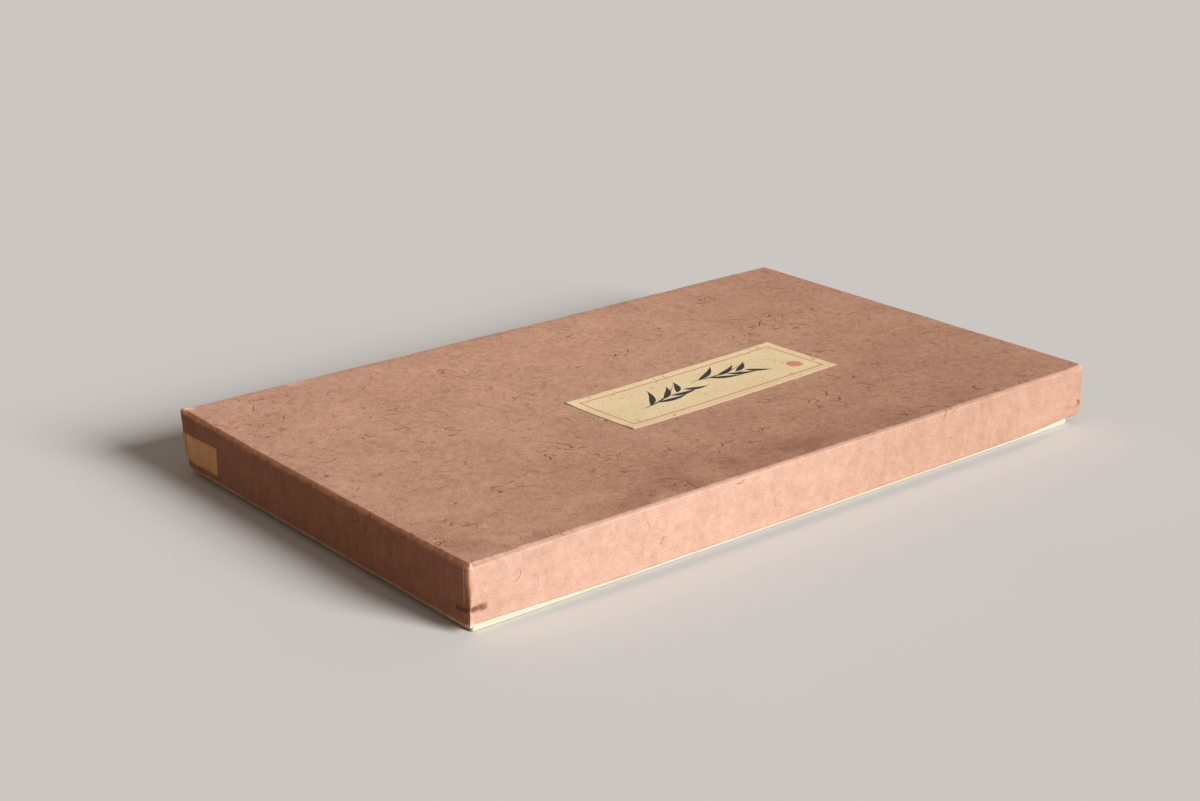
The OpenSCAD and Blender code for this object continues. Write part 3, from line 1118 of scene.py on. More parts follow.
@dataclass(frozen=True)
class TitleLabel:
    """The cream label on the top, with a drawn sprig of leaves on it."""

    paper: CoverPaper
    centre: Place
    length: float = 108.7 * MM
    width: float = 38.5 * MM
    turn: float = math.radians(1.8)
    thickness: float = 0.22 * MM
    curl: float = 0.18 * MM
    ragged: float = 0.07 * MM
    ink_rise: float = 0.02 * MM

    def place(self, along: Array, across: Array, lift: float) -> Array:
        """Puts places on the label onto the lid.

        Args:
            along: Places along the label from its middle.
            across: Places across it.
            lift: Height above the paper of the lid, before the curl of the label's edges is added.

        Returns:
            Points, three numbers along the last axis.
        """
        u = self.centre[0] + along * math.cos(self.turn) - across * math.sin(self.turn)
        v = self.centre[1] + along * math.sin(self.turn) + across * math.cos(self.turn)
        to_end, to_side = self.length / 2 - np.abs(along), self.width / 2 - np.abs(across)
        edge = ease(to_side, 5 * MM, 0.0) * (0.45 + 0.55 * np.sin(along * 70.0 + 1.0) ** 2)
        corner = ease(np.hypot(to_end, to_side), 9 * MM, 0.0)
        return self.paper.fold(u, v, lift + self.curl * (0.5 * edge + 0.8 * corner))

    def skin(self) -> Skin:
        """The label on a grid along and across it, with slightly uneven cut edges.

        Returns:
            The closed skin.
        """
        ends, sides = graded(self.length / 2, 0.6 * MM, 2.5 * MM), np.linspace(-1, 1, 49) * self.width / 2
        along, across = np.meshgrid(ends, sides, indexing="ij")
        ragged = self.ragged * (np.sin(along * 310.0) + np.sin(along * 890.0 + 2.0))
        cut = across + ragged * np.abs(across) / (self.width / 2)
        worn = np.zeros_like(along)
        worn[[0, -1], :] = worn[:, [0, -1]] = 1.0
        upper, lower = (self.place(along, cut, lift) for lift in (self.thickness, 0.0))
        return Skin.slab(upper, lower, np.stack([along, across], axis=2), worn)

    def leaf(self, root: Place, heading: float, length: float, width: float) -> Skin:
        """One leaf or stem stroke: a lens along a bent middle line, pasted flat on the label.

        Args:
            root: Where it starts, along and across the label.
            heading: Direction in degrees.
            length: Its length.
            width: Its greatest width, two fifths of the way along.

        Returns:
            The closed skin.
        """
        share, side = np.meshgrid(np.linspace(0.0, 1.0, 22), np.linspace(-1.0, 1.0, 5), indexing="ij")
        way = math.radians(heading) + 0.35 * (share - 0.4)
        body = width / 2 * np.sin(math.pi * share**0.75) ** 1.2 + 0.02 * MM
        along = root[0] + share * length * np.cos(way) - side * body * np.sin(way)
        across = root[1] + share * length * np.sin(way) + side * body * np.cos(way)
        rises = (self.ink_rise, -self.ink_rise)
        upper, lower = (self.place(along, across, self.thickness + rise) for rise in rises)
        return Skin.slab(upper, lower, np.stack([along, across], axis=2))

    def sprig(self) -> Skin:
        """Two sprays of bamboo leaves on thin stems, drawn in ink.

        Returns:
            One skin with all strokes.
        """
        strokes = []
        sprays = (((-36 * MM, -5 * MM), 14.0, 6), ((-2 * MM, 6 * MM), -9.0, 6))
        for root, stem_way, leaves in sprays:
            strokes.append(self.leaf(root, stem_way, 30 * MM, 0.8 * MM))
            for number in range(leaves):
                reach = (4.0 + 4.4 * number) * MM
                spot = (root[0] + reach, root[1] + reach * math.sin(math.radians(stem_way)))
                heading = stem_way + (-34.0 if number % 2 else 27.0) + 9.0 * math.sin(2.3 * number)
                strokes.append(self.leaf(spot, heading, (16.5 - 1.1 * number) * MM, 2.5 * MM))
        return Skin.join(strokes)


@dataclass(frozen=True)
class CornerSticker:
    """The tan sticker folded round the rear left corner."""

    paper: CoverPaper
    low: float
    high: float
    end_lap: float
    back_lap: float
    thickness: float = 0.15 * MM
    rounding: float = 2.0 * MM
    askew: float = 1.2 * MM
    wobble: float = 0.12 * MM

    def place(self, round_it: Array, height: Array, lift: float) -> Array:
        """Wraps places on the flat sticker round the corner.

        Before the corner a place lies on the back, within it a place turns with the corner's outline,
        and after it on the left end.

        Args:
            round_it: Distance along the walls from the middle of the corner.
            height: Height above the table.
            lift: Height above the paper.

        Returns:
            Points, three numbers along the last axis.
        """
        plan = self.paper.plan
        a, b = plan.flat
        bend = plan.radius * QUARTER / 2
        turn = np.clip((round_it + bend) / plan.radius, 0.0, QUARTER)
        across, out_y = plan.corner(turn)
        out_x = -across
        x = -a + np.maximum(-round_it - bend, 0.0) + out_x * plan.radius
        y = b - np.maximum(round_it - bend, 0.0) + out_y * plan.radius
        points = np.stack([x, y, height], axis=-1)
        faces = np.stack([out_x, out_y, np.zeros_like(x)], axis=-1)
        lap = ease(round_it, bend, bend + 3 * MM)
        proud = self.paper.swell(points, 1.0, lap) + lift
        return self.paper.form.settle(points + faces * proud[..., None])

    def skin(self) -> Skin:
        """A slab on a grid round and up the corner, with one rounded corner and stuck on askew.

        The lower edge is raised evenly, and the upper edge in proportion to the distance from the fold.

        Returns:
            The closed skin.
        """
        up, share = np.linspace(self.low, self.high, 26), np.linspace(0, 1, 90)
        share, height = np.meshgrid(share, up, indexing="ij")
        into = np.maximum(height - (self.high - self.rounding), 0.0)
        short = self.rounding - np.sqrt(np.maximum(self.rounding**2 - into**2, 0.0))
        wobble = self.wobble * np.sin(height * 900.0)
        start, end = -self.back_lap + wobble, self.end_lap - short + wobble
        round_it = start + (end - start) * share
        up = (height - self.low) / (self.high - self.low)
        raised = height + self.askew * (1.0 - up + up * round_it / self.end_lap)
        upper, lower = (self.place(round_it, raised, lift) for lift in (self.thickness, 0.0))
        return Skin.slab(upper, lower, np.stack([round_it, height], axis=2))


@dataclass(frozen=True)
class BaseBand:
    """The cream band of the base: from inside the tray over its rim, down its sides and under it."""

    plan: Plan
    rim_height: float
    foot: float
    inner_foot: float
    wall: float
    thickness: float
    turn_under: float
    rim_round: float = 0.8 * MM
    foot_round: float = 0.1 * MM
    worn_reach: float = 0.7 * MM

    def section(self) -> Section:
        """Closed cross section of the band, from its inner foot outwards and back.

        Returns:
            The section.
        """
        r, w, p, e, k = self.plan.radius, self.wall, self.thickness, self.rim_round, self.foot_round
        depth, inner = self.rim_height - self.foot, self.rim_height - self.inner_foot
        under = r - self.turn_under
        return chain([
            Section.line((r - w, inner), (r - w, e), 8),
            Section.arc((r - w + e, e), e, (270, 360), 6),
            Section.arc((r - e, e), e, (0, 90), 6),
            Section.line((r, e), (r, depth - k), 16),
            Section.arc((r - k, depth - k), k, (90, 180), 7),
            Section.line((r - k, depth), (under, depth), 8),
            Section.line((under, depth - p), (r - p, depth - p), 8),
            Section.line((r - p, depth - p), (r - p, p), 8),
            Section.line((r - w + p, p), (r - w + p, inner), 8),
        ])

    def skin(self) -> Skin:
        """Carries the section round the tray, with a blunted corner at the right of the front.

        Returns:
            The closed skin.
        """
        points, flat_map = self.plan.carry(self.plan.stations(), self.section(), self.rim_height)
        half_sizes = np.array([self.plan.half_length, self.plan.half_width])
        knock = Knock((half_sizes[0], -half_sizes[1]), self.foot, 0.25 * MM, 0.1 * MM, 1.6 * MM, 1.2 * MM)
        moved = knock.soften(points, points.copy())
        moved[..., 0] += self.plan.centre_x
        off_corner = np.abs(half_sizes - np.abs(points[..., :2])).max(axis=-1)
        worn = bell(off_corner, self.worn_reach)
        return Skin.of_grid(moved, flat_map, worn, wrap_rows=True, wrap_columns=True)


class Mixer:
    """Adds nodes to a tree in short steps."""

    def __init__(self, tree: bpy.types.NodeTree) -> None:
        """Keeps the tree that the nodes go into."""
        self.tree = tree

    def node(self, kind: str, inputs: dict | None = None, **settings: str) -> bpy.types.Node:
        """Adds a node.

        Args:
            kind: Its type.
            inputs: Values or sockets for its inputs, by name or number.
            settings: Properties to set on it.

        Returns:
            The node.
        """
        made = self.tree.nodes.new(kind)
        for key, value in settings.items():
            setattr(made, key, value)
        for key, value in (inputs or {}).items():
            if isinstance(value, Socket):
                self.tree.links.new(value, made.inputs[key])
            else:
                made.inputs[key].default_value = value
        return made

    def sheet(self) -> Socket:
        """The piece's own flat-sheet map."""
        return self.node("ShaderNodeUVMap", uv_map="sheet").outputs["UV"]

    def spot(self) -> Socket:
        """Place in the part's frame."""
        return self.node("ShaderNodeTexCoord").outputs["Object"]

    def worn(self) -> Socket:
        """The piece's own worn share."""
        return self.node("ShaderNodeAttribute", attribute_name="worn").outputs["Fac"]

    def seen(self) -> Socket:
        """1 for what is seen directly, mirrored or through glass, 0 for light on its way to a surface."""
        rays = self.node("ShaderNodeLightPath").outputs
        return reduce(self.larger, (rays[f"Is {kind} Ray"] for kind in SEEN_RAYS))

    def split(self, vector: Socket) -> tuple[Socket, Socket, Socket]:
        """The three parts of a vector."""
        parts = self.node("ShaderNodeSeparateXYZ", {0: vector}).outputs
        return parts[0], parts[1], parts[2]

    def math(self, operation: str, first: Value, second: Value = 0.0) -> Socket:
        """An operation on one or two numbers."""
        return self.node("ShaderNodeMath", {0: first, 1: second}, operation=operation).outputs[0]

    def minus(self, first: Value, second: Value) -> Socket:
        """Difference of two numbers."""
        return self.math("SUBTRACT", first, second)

    def apart(self, first: Socket, second: float = 0.0) -> Socket:
        """Distance between two numbers."""
        return self.math("ABSOLUTE", self.minus(first, second))

    def larger(self, first: Socket, second: Value) -> Socket:
        """The larger of two numbers."""
        return self.math("MAXIMUM", first, second)

    def times(self, *values: Value) -> Socket:
        """Product of several numbers."""
        return reduce(lambda first, second: self.math("MULTIPLY", first, second), values)

    def plus(self, *values: Value) -> Socket:
        """Sum of several numbers."""
        return reduce(lambda first, second: self.math("ADD", first, second), values)

    def total(self, *weighted: tuple[Socket, float]) -> Socket:
        """Sum of several numbers, each times its weight."""
        return self.plus(*(self.times(value, weight) for value, weight in weighted))

    def far(self, x: Socket, y: Socket, place: Place) -> Socket:
        """Distance in a plane from a place: the root of the sum of the squares."""
        squares = (self.math("POWER", self.minus(part, end), 2.0) for part, end in zip((x, y), place))
        return self.math("SQRT", self.plus(*squares))

    def band(self, value: Socket, low: float, high: float, bottom: float = 0.0, top: float = 1.0) -> Socket:
        """Smooth step of a number from bottom at low to top at high."""
        values = {0: value, 1: low, 2: high, 3: bottom, 4: top}
        return self.node("ShaderNodeMapRange", values, interpolation_type="SMOOTHSTEP").outputs[0]

    def blend(self, share: Socket, first: Paint, second: Paint, way: str = "MIX") -> Socket:
        """Mixes a share of the second colour into the first."""
        values = {0: share, 6: full(first), 7: full(second)}
        return self.node("ShaderNodeMix", values, data_type="RGBA", blend_type=way).outputs[2]

    def noise(
        self, place: Socket, size: float, layer: float, detail: float = 2.0,
        rough: float = 0.5, warp: float = 0.0
    ) -> Socket:
        """Noise whose lumps are about size across.

        Args:
            place: Where it is read.
            size: Distance between its lumps, in metres.
            layer: Number that shifts one layer from another.
            detail: Number of finer layers.
            rough: Strength of the finer layers.
            warp: Distortion.

        Returns:
            A number about 0.5.
        """
        shift = tuple(layer * part for part in LAYER_SHIFT)
        moved = self.node("ShaderNodeVectorMath", {0: place, 1: shift}, operation="ADD").outputs[0]
        values = {"Scale": 1.0 / size, "Detail": detail, "Roughness": rough, "Distortion": warp}
        return self.node("ShaderNodeTexNoise", {"Vector": moved, **values}).outputs[0]

    def hairs(self, place: Socket, size: float, width: float, layer: float, cover: float) -> Socket:
        """Thin broken hair lines: where a wavy noise crosses its middle value, kept in patches.

        Args:
            place: Where it is read.
            size: Distance between the waves, in metres.
            width: Half width of a line, as a difference in the noise.
            layer: Number that shifts one layer from another.
            cover: Value above which a second noise keeps the line.

        Returns:
            1 on a hair, 0 elsewhere.
        """
        wave = self.noise(place, size, layer, 1.0, 0.5, 0.8)
        line = self.band(self.apart(wave, 0.5), width, 0.3 * width)
        patch = self.band(self.noise(place, 0.7 * size, layer + 0.5, 1.0), cover, cover + 0.05)
        return self.times(line, patch)


def full(colour: Paint) -> Socket | tuple[float, ...]:
    """A colour with its fourth number, or a socket as it is."""
    return colour if isinstance(colour, Socket) else (*colour, 1.0)


class Coat(Mixer):
    """The node tree of one material: a colour that layers are laid on, and a plain shader."""

    def __init__(self, name: str, colour: Colour, roughness: float, specular: float) -> None:
        """Starts a material.

        Args:
            name: Name of the material.
            colour: Colour under all layers.
            roughness: Roughness where nothing else is linked.
            specular: Specular level all over.
        """
        self.material = bpy.data.materials.new(name)
        self.material.use_nodes = True
        super().__init__(self.material.node_tree)
        self.colour: Paint = colour
        self.shader = self.tree.nodes["Principled BSDF"]
        self.shader.inputs["Roughness"].default_value = roughness
        self.shader.inputs["Specular IOR Level"].default_value = specular

    def lay(self, share: Socket, colour: Paint) -> None:
        """Lays a share of a colour over the colour so far."""
        self.colour = self.blend(share, self.colour, colour)

    def dye(self, share: Socket, tint: Paint) -> None:
        """Multiplies a share of the colour so far by a tint."""
        self.colour = self.blend(share, self.colour, tint, "MULTIPLY")

    def pulp(
        self, place: Socket, sizes: Place, fine: float, ends: Place, light: Colour, rough: float = 0.5
    ) -> tuple[Socket, Socket]:
        """Lightens plain paper by fine grain and wide blotches.

        Args:
            place: Where they are read.
            sizes: Distance between the lumps of the grain and between the blotches.
            fine: Share of the grain in their mix.
            ends: Mix at which the lighter tone starts and is full.
            light: The lighter tone.
            rough: Strength of the blotches' finer layers.

        Returns:
            The grain and the blotches.
        """
        grain = self.noise(place, sizes[0], 1.0, 3.0, 0.6)
        blotch = self.noise(place, sizes[1], 2.0, 3.0, rough)
        self.lay(self.band(self.total((grain, fine), (blotch, 1.0 - fine)), *ends), light)
        return grain, blotch

    def finish(self, height: Socket, relief: float, rough: Socket | None = None) -> Material:
        """Links colour, relief and roughness to the shader.

        Args:
            height: Height of the relief.
            relief: Depth of the relief in metres.
            rough: Roughness, if it varies.

        Returns:
            The finished material.
        """
        links = self.tree.links
        links.new(self.colour, self.shader.inputs["Base Color"])
        bump = self.node("ShaderNodeBump", {"Strength": 0.7, "Distance": relief, "Height": height})
        links.new(bump.outputs[0], self.shader.inputs["Normal"])
        if rough is not None:
            links.new(rough, self.shader.inputs["Roughness"])
        return self.material


@dataclass(frozen=True)
class FibrePaper:
    """Brown-pink handmade paper: felted pulp, hairs, painted light on the front and painted shade on the
    other walls, a painted highlight under the front edge, stains, wear and rust.
    """

    half_length: float
    half_width: float
    roll: Roll
    top: float
    foot: float
    staple_level: float
    dark: Colour = (0.420, 0.215, 0.140)
    mid: Colour = (0.622, 0.350, 0.241)
    light: Colour = (0.770, 0.468, 0.335)
    # painted light and shade: the lit front is tinted paler, more at its left than at its right, and the
    # other walls darker
    painted_light_front_left: Colour = (0.950, 1.055, 1.165)
    painted_light_front_right: Colour = (0.831, 0.891, 0.946)
    painted_shade_walls: Colour = (0.690, 0.575, 0.530)
    # painted highlight along the ridge under the front's roll
    ridge_highlight: Colour = (1.030, 1.150, 1.210)
    darker_roll: Colour = (0.815, 0.795, 0.785)
    blotch: Colour = (0.860, 0.820, 0.800)
    darker_tint: Colour = (0.560, 0.470, 0.430)
    hair: Colour = (0.170, 0.070, 0.043)
    pale: Colour = (0.800, 0.560, 0.420)
    # partly wear, partly painted light on the rolled end edges
    warm_rub_and_painted_light: Colour = (0.780, 0.362, 0.205)
    bare: Colour = (0.930, 0.740, 0.600)
    # partly rubbed, partly painted light on the ear beside the front
    ear: Colour = (0.980, 0.540, 0.330)
    rust: Colour = (0.175, 0.058, 0.034)
    spot: Colour = (0.105, 0.078, 0.068)
    dot_place: Place = (-143.2 * MM, 0.9 * MM)
    dot_radius: float = 1.25 * MM

    def material(self) -> Material:
        """Lays the layers of the paper, from the pulp to the rust.

        Returns:
            The material, which reads the flat-sheet map, the worn share and Object coordinates.
        """
        mix = FibreCoat(self)
        for layer in (mix.felted, mix.aged, mix.front_edges_and_highlight, mix.haired, mix.darkened_and_stained, mix.rubbed, mix.rusted):
            layer()
        relief = mix.total((mix.felt, 1.0), (mix.lumps, 0.8), (mix.fine, 0.35))
        return mix.finish(relief, 0.10 * MM, mix.band(mix.felt, 0.3, 0.7, 0.92, 0.78))


class FibreCoat(Coat):
    """The layers of the fibre paper on the lid."""

    def __init__(self, paper: FibrePaper) -> None:
        """Makes the noises of the paper and the shares that tell the lid's faces apart.

        A face is told by how far the flat sheet runs past the folds of the top.

        Args:
            paper: Sizes and tones of the paper.
        """
        super().__init__("fibre_paper", paper.dark, 0.86, 0.25)
        self.tones = paper
        self.flat, self.here = self.sheet(), self.spot()
        self.x, self.y, self.z = self.split(self.here)
        along, across, _ = self.split(self.flat)
        reach, bend = paper.roll.reach, paper.roll.length
        self.past_end = self.minus(self.apart(along), paper.half_length - reach)
        self.past_side = self.minus(self.apart(across), paper.half_width - reach)
        self.on_top = self.band(self.larger(self.past_end, self.past_side), 0.40 * bend, 0.02 * bend)
        self.on_wall = self.minus(1.0, self.on_top)
        fold = reach - paper.half_width
        off_ear = self.band(self.past_end, 0.90 * reach, 0.65 * reach)
        self.to_front = self.times(self.band(across, fold, fold - 0.3 * MM), off_ear)
        self.on_front = self.times(self.on_wall, self.to_front)
        self.shaded = self.minus(self.on_wall, self.on_front)
        self.felt = self.noise(self.flat, 0.55 * MM, 1.0, 3.0, 0.65)
        self.lumps = self.noise(self.flat, 2.6 * MM, 2.0, 4.0, 0.62, 0.4)
        self.fine = self.hairs(self.flat, 4.2 * MM, 0.018, 5.0, 0.56)

    def felted(self) -> None:
        """Lays three tones of felted pulp, calmer and mottled on the walls."""
        tones = self.tones
        cloud = self.noise(self.flat, 21 * MM, 3.0, 3.0, 0.5)
        tone = self.total((self.felt, 0.54), (self.lumps, 0.30), (cloud, 0.16))
        self.lay(self.band(tone, 0.37, 0.51), tones.mid)
        self.lay(self.band(tone, 0.50, 0.63), tones.light)
        self.lay(self.times(self.on_wall, 0.45), tones.mid)
        mottle = self.band(self.noise(self.flat, 6.5 * MM, 25.0, 3.0, 0.55), 0.32, 0.68, 0.62, 0.0)
        self.dye(self.times(self.on_wall, mottle), tones.blotch)

    def aged(self) -> None:
        """Paints light on the front as a paler tint, most at its left, and paints shade on the other walls
        as a darker tint. Those walls are also streaked, and a band near the top of the left end, beside the
        front, is laid lighter, partly rubbed and partly painted light.
        """
        tones = self.tones
        # painted light: the front, turned to the light, is tinted paler, most at its left
        painted_front_light = self.blend(self.band(self.x, -50 * MM, 75 * MM), tones.painted_light_front_left, tones.painted_light_front_right)
        self.dye(self.on_front, painted_front_light)
        # painted shade: the walls other than the front are tinted darker and redder
        self.dye(self.shaded, tones.painted_shade_walls)
        # partly rubbed, partly painted light: a band of the left end beside the front, near its top, is laid
        # lighter where the rounded corner meets the light
        beside = self.band(self.plus(self.y, tones.half_width), 3.4 * MM, 0.4 * MM)
        upper = self.band(self.z, tones.top - 13 * MM, tones.top - 5 * MM, 0.0, 0.9)
        self.lay(self.times(self.shaded, self.band(self.x, 0.0, -100 * MM), beside, upper), tones.ear)
        drawn = self.node("ShaderNodeVectorMath", {0: self.flat, 1: (0.12, 1.0, 1.0)}, operation="MULTIPLY")
        streaks = self.band(self.noise(drawn.outputs[0], 1.8 * MM, 28.0, 2.0), 0.30, 0.70, 0.7, 0.0)
        self.dye(self.times(self.shaded, streaks), tones.blotch)

    def front_edges_and_highlight(self) -> None:
        """Darkens the roll of the front, paints a highlight along the ridge under it and darkens a thin line
        along the foot of the front.
        """
        tones, bend = self.tones, self.tones.roll.length
        rolled = self.band(self.past_side, 0.92 * bend, 0.72 * bend)
        darker_share = self.band(self.x, 140 * MM, 60 * MM, 0.2, 1.0)
        self.dye(self.times(self.to_front, rolled, darker_share), tones.darker_roll)
        # painted highlight: a thin lighter, cooler line along the ridge under the front's roll
        ridge = self.band(self.apart(self.past_side, 1.05 * bend), 0.45 * MM, 0.15 * MM)
        self.dye(self.times(self.to_front, ridge), tones.ridge_highlight)
        darker_foot_line = self.band(self.z, tones.foot + 0.5 * MM, tones.foot + 0.15 * MM, 0.0, 0.55)
        self.dye(self.times(self.to_front, darker_foot_line), tones.darker_tint)

    def haired(self) -> None:
        """Draws the hairs and specks that lie in the paper, fainter on the walls."""
        tones = self.tones
        clear = self.band(self.on_top, 0.0, 1.0, 0.3, 1.0)
        layers = (
            (self.hairs(self.flat, 6.0 * MM, 0.020, 14.0, 0.57), 0.30, tones.pale),
            (self.fine, 0.42, tones.hair),
            (self.hairs(self.flat, 9.5 * MM, 0.010, 9.0, 0.55), 0.40, tones.hair),
            (self.band(self.noise(self.flat, 0.8 * MM, 20.0, 1.0), 0.70, 0.77), 0.45, tones.hair),
        )
        for mask, strength, tone in layers:
            self.lay(self.times(clear, mask, strength), tone)

    def darkened_and_stained(self) -> None:
        """Darkens the top in smooth bands along its front, towards its right and in the middle of its front,
        and soils it in patches left of the middle of its front and near its left corner.
        """
        patchy = self.band(self.noise(self.here, 14 * MM, 31.0, 3.0), 0.36, 0.68)
        inner = self.band(self.apart(self.x, 30 * MM), 160 * MM, 70 * MM)
        darker_front = self.times(inner, self.band(self.y, 10 * MM, -85 * MM, 0.0, 0.24))
        to_right = self.band(self.x, 30 * MM, 130 * MM, 0.0, 0.22)
        darker_share = self.band(self.apart(self.x, 25 * MM), 80 * MM, 15 * MM)
        darker_share = self.times(darker_share, self.band(self.y, -66 * MM, -86 * MM, 0.0, 0.34))
        middle = self.band(self.apart(self.x, -45 * MM), 85 * MM, 20 * MM)
        grimed = self.times(middle, patchy, self.band(self.y, -50 * MM, -88 * MM, 0.0, 0.45))
        corner = self.band(self.plus(self.x, self.y, 205 * MM), 22 * MM, -20 * MM, 0.0, 0.65)
        patches = self.larger(grimed, self.times(corner, patchy))
        self.dye(self.times(self.on_top, self.plus(patches, darker_front, to_right, darker_share)), self.tones.darker_tint)

    def rubbed(self) -> None:
        """Rubs worn edges pale, or warm at the ends, where the warm tint on the rolled end edges is also
        painted light, and the most worn ones bare. The top has a dark dot.
        """
        tones = self.tones
        share = self.times(self.worn(), self.band(self.lumps, 0.30, 0.66, 0.45, 1.0))
        on_end = self.math("GREATER_THAN", self.past_end, self.past_side)
        # the warm tint on the rolled ends is partly wear, partly painted light
        self.lay(self.band(share, 0.12, 0.75, 0.0, 0.75), self.blend(on_end, tones.pale, tones.warm_rub_and_painted_light))
        self.lay(self.band(share, 1.00, 1.50, 0.0, 0.9), tones.bare)
        to_dot = self.far(self.x, self.y, tones.dot_place)
        dot = self.band(to_dot, tones.dot_radius, 0.4 * tones.dot_radius, 0.0, 0.8)
        self.lay(self.times(self.on_top, dot), tones.spot)

    def rusted(self) -> None:
        """Lets rust come through over the staples, further at the left end than at the right."""
        aside_x = self.minus(self.tones.half_length, self.apart(self.x))
        aside_y = self.minus(self.tones.half_width, self.apart(self.y))
        run = self.plus(self.larger(aside_x, 0.0), self.larger(aside_y, 0.0))
        wander = self.times(self.minus(self.noise(self.here, 3.4 * MM, 41.0, 2.0), 0.5), 2.2 * MM)
        raised = self.band(aside_y, 1.2 * MM, 0.4 * MM, 0.0, 0.7 * MM)
        above = self.minus(self.z, self.tones.staple_level - 0.3 * MM)
        level = self.minus(self.plus(above, wander), raised)
        reach = self.band(self.x, -100 * MM, 100 * MM, 7.0 * MM, 2.6 * MM)
        along = self.band(self.minus(reach, run), -0.4 * MM, 1.0 * MM)
        off_edge = self.larger(self.band(run, 0.3 * MM, 1.3 * MM), self.band(self.x, 100 * MM, 0.0))
        across = self.band(self.apart(level), 1.35 * MM, 0.35 * MM)
        heavy = self.band(self.noise(self.here, 2.2 * MM, 43.0, 2.0), 0.34, 0.58, 0.55, 0.95)
        self.lay(self.times(along, off_edge, across, heavy), self.tones.rust)


@dataclass(frozen=True)
class PlainPaper:
    """Uncoated paper: grain, blotches, a few fibres and brown age spots."""

    name: str
    light: Colour
    dark: Colour
    spots: Colour
    spotted: float = 0.66

    def material(self) -> Material:
        """Mixes grain, blotches, fibres and age spots on Object coordinates.

        Returns:
            The material.
        """
        mix = Coat(self.name, self.dark, 0.88, 0.25)
        spot = mix.spot()
        grain, blotch = mix.pulp(spot, (0.5 * MM, 16 * MM), 0.45, (0.36, 0.62), self.light, 0.55)
        ages = mix.band(mix.noise(spot, 4 * MM, 4.0, 3.0), self.spotted, self.spotted + 0.16, 0.0, 0.55)
        mix.lay(ages, self.spots)
        mix.lay(mix.times(mix.hairs(spot, 5 * MM, 0.012, 6.0, 0.56), 0.22), self.spots)
        rubbed = mix.times(mix.worn(), mix.band(blotch, 0.3, 0.6, 0.6, 1.2))
        mix.lay(mix.band(rubbed, 0.35, 0.8, 0.0, 0.4), self.spots)
        return mix.finish(grain, 0.04 * MM, mix.band(grain, 0.3, 0.7, 0.93, 0.82))


@dataclass(frozen=True)
class Greyboard:
    """Pressed board of mixed waste paper: grey-brown with dark and pale flecks."""

    dark: Colour = (0.26, 0.215, 0.16)
    light: Colour = (0.44, 0.385, 0.30)
    dark_fleck: Colour = (0.08, 0.07, 0.07)
    pale_fleck: Colour = (0.62, 0.58, 0.50)

    def material(self) -> Material:
        """Mixes pulp and flecks on Object coordinates.

        Returns:
            The material.
        """
        mix = Coat("greyboard", self.dark, 0.92, 0.2)
        spot = mix.spot()
        pulp = mix.noise(spot, 1.6 * MM, 1.0, 4.0, 0.65)
        flecks = mix.noise(spot, 0.7 * MM, 3.0, 1.0)
        mix.lay(mix.band(pulp, 0.36, 0.64), self.light)
        mix.lay(mix.band(flecks, 0.68, 0.74, 0.0, 0.6), self.dark_fleck)
        mix.lay(mix.band(flecks, 0.32, 0.27, 0.0, 0.5), self.pale_fleck)
        return mix.finish(pulp, 0.06 * MM)


@dataclass(frozen=True)
class LabelPaper:
    """Aged cream label paper with gold-brown flecks, a broken red rule and a plain red disc."""

    half_length: float
    half_width: float
    cream: Colour = (0.98, 0.800, 0.500)
    aged: Colour = (0.945, 0.745, 0.445)
    brown: Colour = (0.40, 0.190, 0.060)
    core: Colour = (0.62, 0.500, 0.320)
    red: Colour = (0.70, 0.095, 0.070)
    inset: float = 4.0 * MM
    rule: float = 0.40 * MM
    disc_place: Place = (43.0 * MM, -7.0 * MM)
    disc_radius: float = 3.4 * MM

    def material(self) -> Material:
        """Mixes the label's layers on its own flat map, whose middle is the label's middle.

        Returns:
            The material.
        """
        mix = Coat("label_paper", self.aged, 0.84, 0.3)
        place = mix.sheet()
        grain, _ = mix.pulp(place, (0.6 * MM, 9 * MM), 0.4, (0.34, 0.60), self.cream)
        batches = ((0.9 * MM, 5.0, 0.67, 0.60), (1.8 * MM, 6.5, 0.69, 0.45), (3.2 * MM, 8.0, 0.67, 0.42))
        for size, layer, low, share in batches:
            flecks = mix.noise(place, size, layer, 1.0)
            mix.lay(mix.band(flecks, low, low + 0.06, 0.0, share), self.brown)
        along, across, _ = mix.split(place)
        to_end = mix.minus(mix.apart(along), self.half_length - self.inset)
        to_side = mix.minus(mix.apart(across), self.half_width - self.inset)
        line = mix.band(mix.apart(mix.larger(to_end, to_side)), self.rule, 0.55 * self.rule, 0.0, 0.90)
        to_disc = mix.far(along, across, self.disc_place)
        disc = mix.band(to_disc, self.disc_radius, 0.95 * self.disc_radius, 0.0, 0.70)
        mix.lay(mix.times(mix.larger(line, disc), mix.band(grain, 0.33, 0.50, 0.60, 1.0)), self.red)
        mix.lay(mix.band(mix.worn(), 0.55, 1.0), self.core)
        return mix.finish(grain, 0.05 * MM, mix.band(grain, 0.3, 0.7, 0.90, 0.78))


